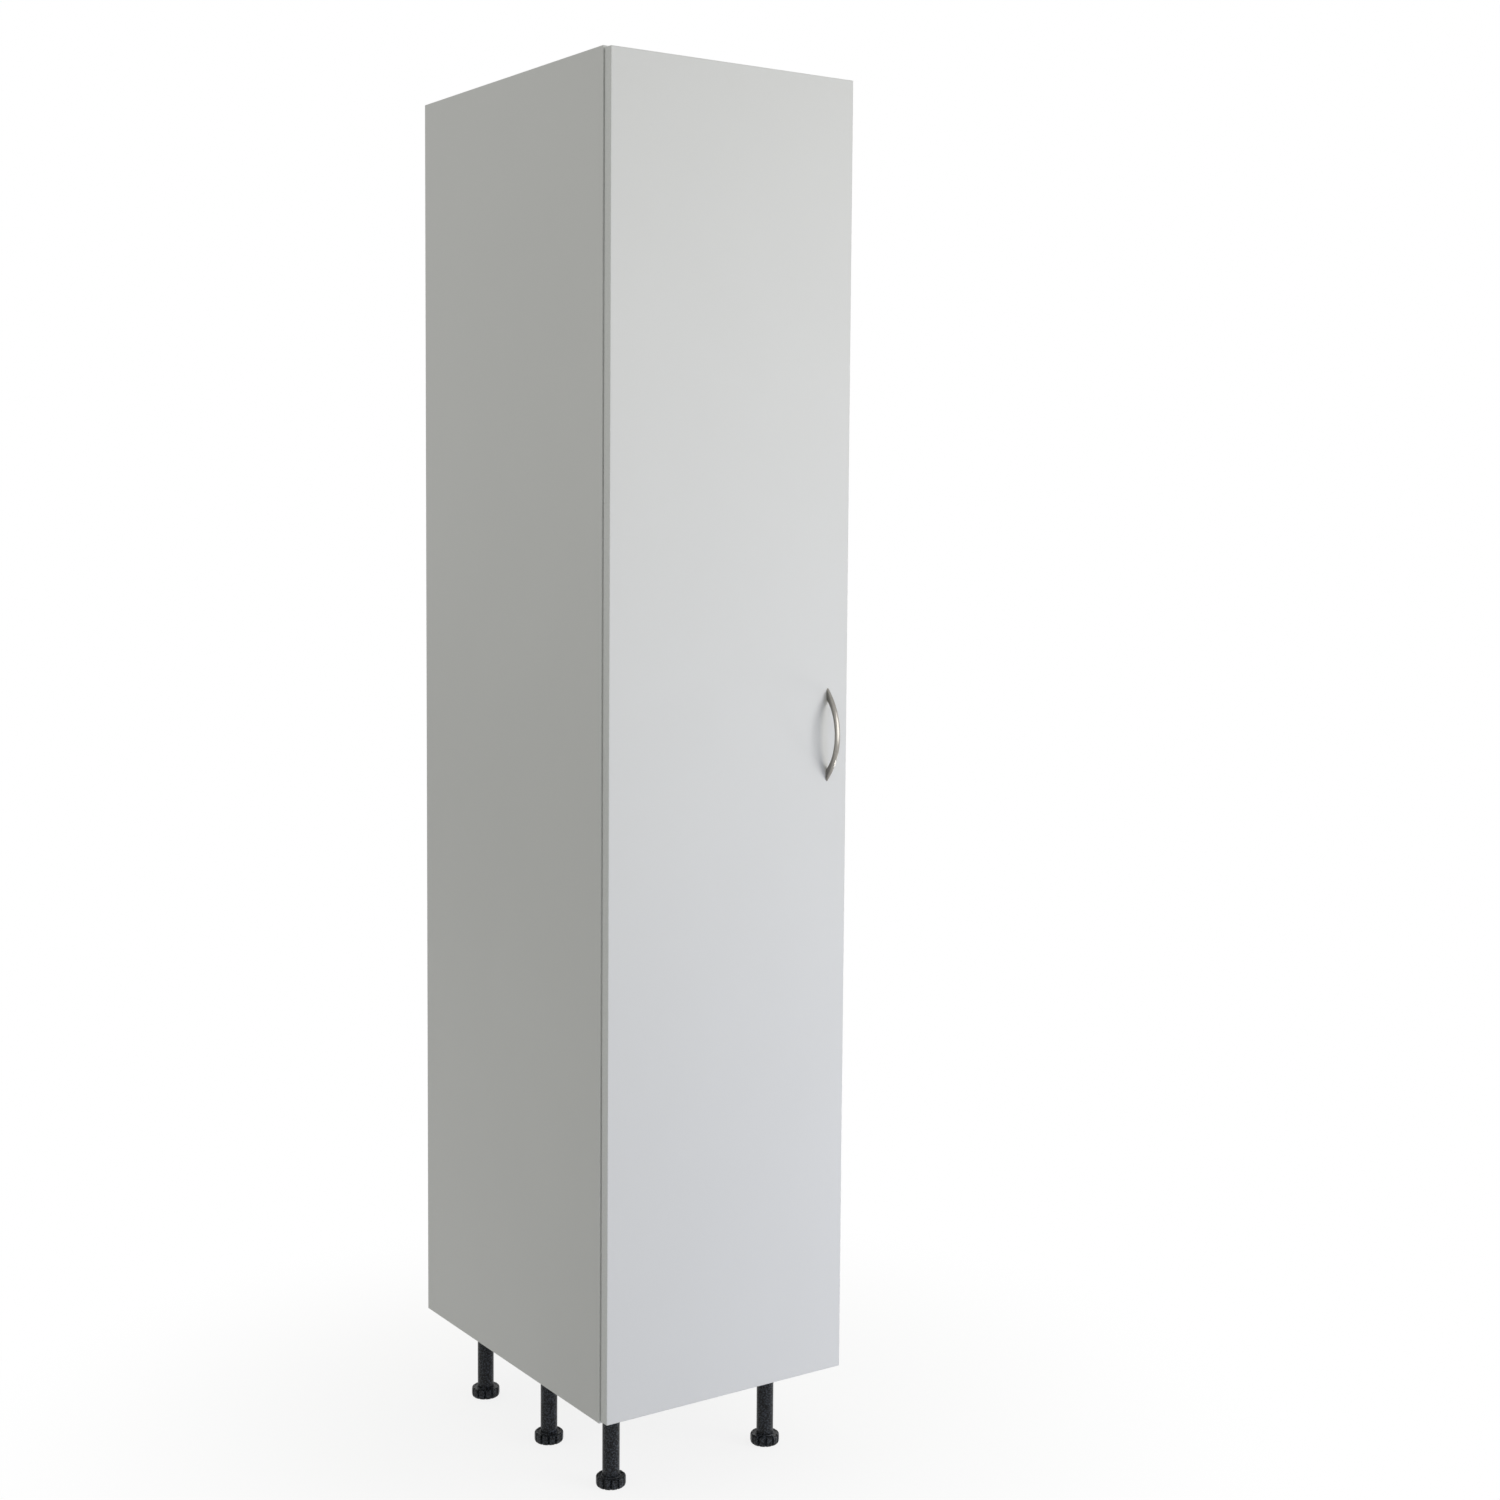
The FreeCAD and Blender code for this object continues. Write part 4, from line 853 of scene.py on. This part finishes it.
end_tree(add, add("GeometryNodeSetPosition", {
    "Geometry": size["Geometry"], "Selection": cut_here, "Offset": shift}), size)
print(notch_tree.name, len(notch_tree.nodes), "nodes,", thread_tree.name, len(thread_tree.nodes), "nodes")

# %% Adjustable feet
DISC = [(0, 0), (19.2, 0), (20.9, 0.25), (22.3, 0.9), (23.3, 2.0), (23.9, 3.6), (24.2, 5.6), (24.2, 9),
        (24.2, 13.4), (24, 14.9), (23.5, 16.1), (22.7, 16.9), (21.7, 17.1), (20.3, 16.7), (18.1, 16.2),
        (16.7, 16.2), (15.6, 16.5), (15.1, 17.4), (14.8, 17.7), (0, 17.7)]
STEP, STEPS = 0.31, 190
STEM = [(0, 15), (5, 15)] + [(5, 18 + STEP * k) for k in range(STEPS)] + [(4.4, 77.7), (0, 77.7)]
one_foot = grown(notch_tree, as_mesh(turned(DISC, 144)), {
    "Notches": 12, "Depth": 3.0 * MM, "Sharpness": 0.55, "Start Radius": 18.7 * MM, "Rim Radius": 23.7 * MM,
    "Material": black_plastic})
stem = grown(thread_tree, as_mesh(turned(STEM, 24)), {
    "Pitch": 2.5 * MM, "Depth": 0.6 * MM, "Low": 17.8 * MM, "High": 76.5 * MM, "Material": black_plastic})
one_foot.from_mesh(as_mesh(stem))
for spot, centre in CENTRES.items():
    shape = one_foot.copy()
    bmesh.ops.translate(shape, verts=shape.verts, vec=(centre.x, centre.y, 0.0))
    foot = finished("adjustable_foot_" + spot, shape, spot + "_foot", [black_plastic],
                    ["foot_" + spot], smooth=35)
one_foot.free()
print(len(SPOTS), "feet,", len(foot.data.polygons), "faces each")

# %% [markdown]
# ## Buffers and what stays as it is
# Two drops of clear plastic soften the door's closing. They are turned and then laid on their side.
# The dowels, the cam bolts and the hinge pins are plain round pieces inside the boards or the cups, so
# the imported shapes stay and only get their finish.

# %% Clear buffers
DROP = [(1, 0), (0.99, 0.25), (0.9, 0.62), (0.68, 0.88), (0.38, 0.98)]
shape = bmesh.new()
for low, high in loose_parts("door_bumpers"):
    radius, tall = (high.x - low.x) / 2 / MM, (high.y - low.y) / MM
    drop = turned([(0, 0)] + [(radius * r, tall * h) for r, h in DROP] + [(0, tall)], 40)
    lay = Matrix.Translation(((low.x + high.x) / 2, low.y, (low.z + high.z) / 2))
    lay @= Matrix.Rotation(-math.pi / 2, 4, "X")
    bmesh.ops.transform(drop, matrix=lay, verts=drop.verts)
    shape.from_mesh(as_mesh(drop))
buffers = finished("door_buffers", shape, "door", [clear_buffer], ["door_bumpers"], smooth=60)
print(buffers.name, len(buffers.data.polygons), "faces")

# %% Finishes of the nodes that stay
for node, material in (("wooden_dowels", beech), ("cam_bolts", zinc), ("hinge_pins", zinc)):
    for slot in NODES[node].material_slots:
        slot.material = material
    print(node, "keeps its shape, in", material.name)

# %% [markdown]
# ## Floor and background
# The cupboard stands on white paper. Close to it the paper takes a share of the light as it comes, so
# the shadows of the feet and the body stay, and stay faint, as on a lit table. Further out it turns to
# plain white, which hides where it ends. The rays that light the object see a light grey floor and a
# soft grey room, so the white background adds no light. Mirror and glass rays see the white
# background, as the eye does.

# %% Floor and room
FLOOR_TONE, ROOM_TONE, ROOM_LIGHT = "#BABBBE", "#FCFDF6", 0.55
WHITE = (1.0, 1.0, 1.0, 1.0)


def emptied(owner):
    """Clears the nodes of a material or a world, and gives what adds nodes to it."""
    owner.use_nodes = True
    owner.node_tree.nodes.clear()
    return partial(add_node, owner.node_tree)


def seen(add):
    """One for the rays that an eye follows: straight ahead, by a mirror or through glass."""
    ray = add("ShaderNodeLightPath").outputs
    ahead_or_mirrored = add(MATH, (ray["Is Camera Ray"], ray["Is Glossy Ray"]), "MAXIMUM")
    return add(MATH, (ahead_or_mirrored, ray["Is Transmission Ray"]), "MAXIMUM")


sheet = bmesh.new()
bmesh.ops.create_grid(sheet, x_segments=2, y_segments=2, size=9.0)
studio_floor = new_object("studio_floor", as_mesh(sheet, "studio_floor"))

paper = bpy.data.materials.new("white_paper")
add = emptied(paper)
place = add("ShaderNodeTexCoord").outputs["Object"]
away = add(VECTOR_MATH, (place,), "LENGTH").outputs["Value"]
fade = add(MAP_RANGE, {"Value": away, "From Min": 0.3, "From Max": 1.2, "To Min": 0.84},
           {"interpolation_type": "SMOOTHSTEP"})
lit = add("ShaderNodeBsdfDiffuse", {"Color": linear("#FFFFFF")})
plain = add("ShaderNodeEmission", {"Color": WHITE, "Strength": 1.0})
shown = add("ShaderNodeMixShader", (fade, lit, plain))
lighting = add("ShaderNodeBsdfDiffuse", {"Color": linear(FLOOR_TONE)})
choice = add("ShaderNodeMixShader", (seen(add), lighting, shown))
add("ShaderNodeOutputMaterial", {"Surface": choice})
studio_floor.data.materials.append(paper)

world = bpy.data.worlds.new("studio_room")
bpy.context.scene.world = world
add = emptied(world)
room = add("ShaderNodeBackground", {"Color": linear(ROOM_TONE), "Strength": ROOM_LIGHT})
white = add("ShaderNodeBackground", {"Color": WHITE, "Strength": 1.0})
add("ShaderNodeOutputWorld", {"Surface": add("ShaderNodeMixShader", (seen(add), room, white))})
print("room light", ROOM_LIGHT, "floor", FLOOR_TONE)

# %% [markdown]
# ## Lamps
# A large soft lamp stands to the right in front, at the height of the upper door. It lights the door
# more than the side, and its reflection makes the door a little brighter there. Its size keeps the
# handle's shadow soft. A small bluish one near the floor lifts the foot of the door, which the large
# one hardly reaches. It makes no reflections, so it leaves no blue patch on the metal. The smallest
# stands low at the right and draws the narrow lights down the right sides of the black legs.

# %% Three soft lamps
def soft_lamp(name, at, towards, size_m, power, colour="#FFFFFF"):
    """A rectangular area lamp that faces a point."""
    data = bpy.data.lights.new(name, "AREA")
    data.color = linear(colour)[:3]
    data.shape, data.size, data.size_y, data.energy = "RECTANGLE", size_m[0], size_m[1], power
    lamp = new_object(name, data)
    lamp.location = at
    lamp.rotation_euler = (Vector(towards) - Vector(at)).to_track_quat("-Z", "Y").to_euler()
    print(name, power, "W")
    return lamp


soft_lamp("window_lamp", (3.2, -4.4, 1.75), (0.0, -0.2, 1.45), (2.6, 3.4), 102.0)
fill = soft_lamp("low_fill_lamp", (0.6, -2.4, 0.35), (0.0, -0.3, -1.3), (1.0, 0.4), 9.0, "#C4D0FF")
fill.visible_glossy = False
soft_lamp("heel_lamp", (1.7, -0.7, 0.13), (0.0, -0.15, 0.08), (0.3, 0.12), 5.5)

# %% [markdown]
# ## Camera
# The camera stands in front to the left at about eye height and looks slightly down. Its place, turn
# and lens come from the cupboard's own straight edges, whose lengths are known. The lens and the shift
# are worked out for a square picture, and the small shift moves the frame without bending the verticals.

# %% Camera
CAMERA_AT = Vector((-1.9095, -3.1575, 1.5534))
YAW, PITCH, ROLL = (math.radians(a) for a in (34.409, -4.166, 0.467))
FOCAL_PIXELS, CENTRE_X, CENTRE_Y, SIDE = 2207.4, 759.3, 678.4, 1500.0
ahead = Vector((math.cos(PITCH) * math.sin(YAW), math.cos(PITCH) * math.cos(YAW), math.sin(PITCH)))
level_right = Vector((math.cos(YAW), -math.sin(YAW), 0.0))
level_up = level_right.cross(ahead)
right = math.cos(ROLL) * level_right + math.sin(ROLL) * level_up
up = right.cross(ahead)
lens = bpy.data.cameras.new("eye_height_camera")
lens.sensor_width = 36.0
lens.lens = FOCAL_PIXELS / SIDE * lens.sensor_width
lens.shift_x, lens.shift_y = (SIDE / 2 - CENTRE_X) / SIDE, (CENTRE_Y - SIDE / 2) / SIDE
camera = new_object("eye_height_camera", lens)
axes = Matrix((right, up, -ahead)).transposed().to_4x4()
camera.matrix_world = Matrix.Translation(CAMERA_AT) @ axes
bpy.context.scene.camera = camera
bpy.context.scene.view_settings.view_transform = "Standard"
print(f"lens {lens.lens:.1f} mm, shift {lens.shift_x:.4f}, {lens.shift_y:.4f}")
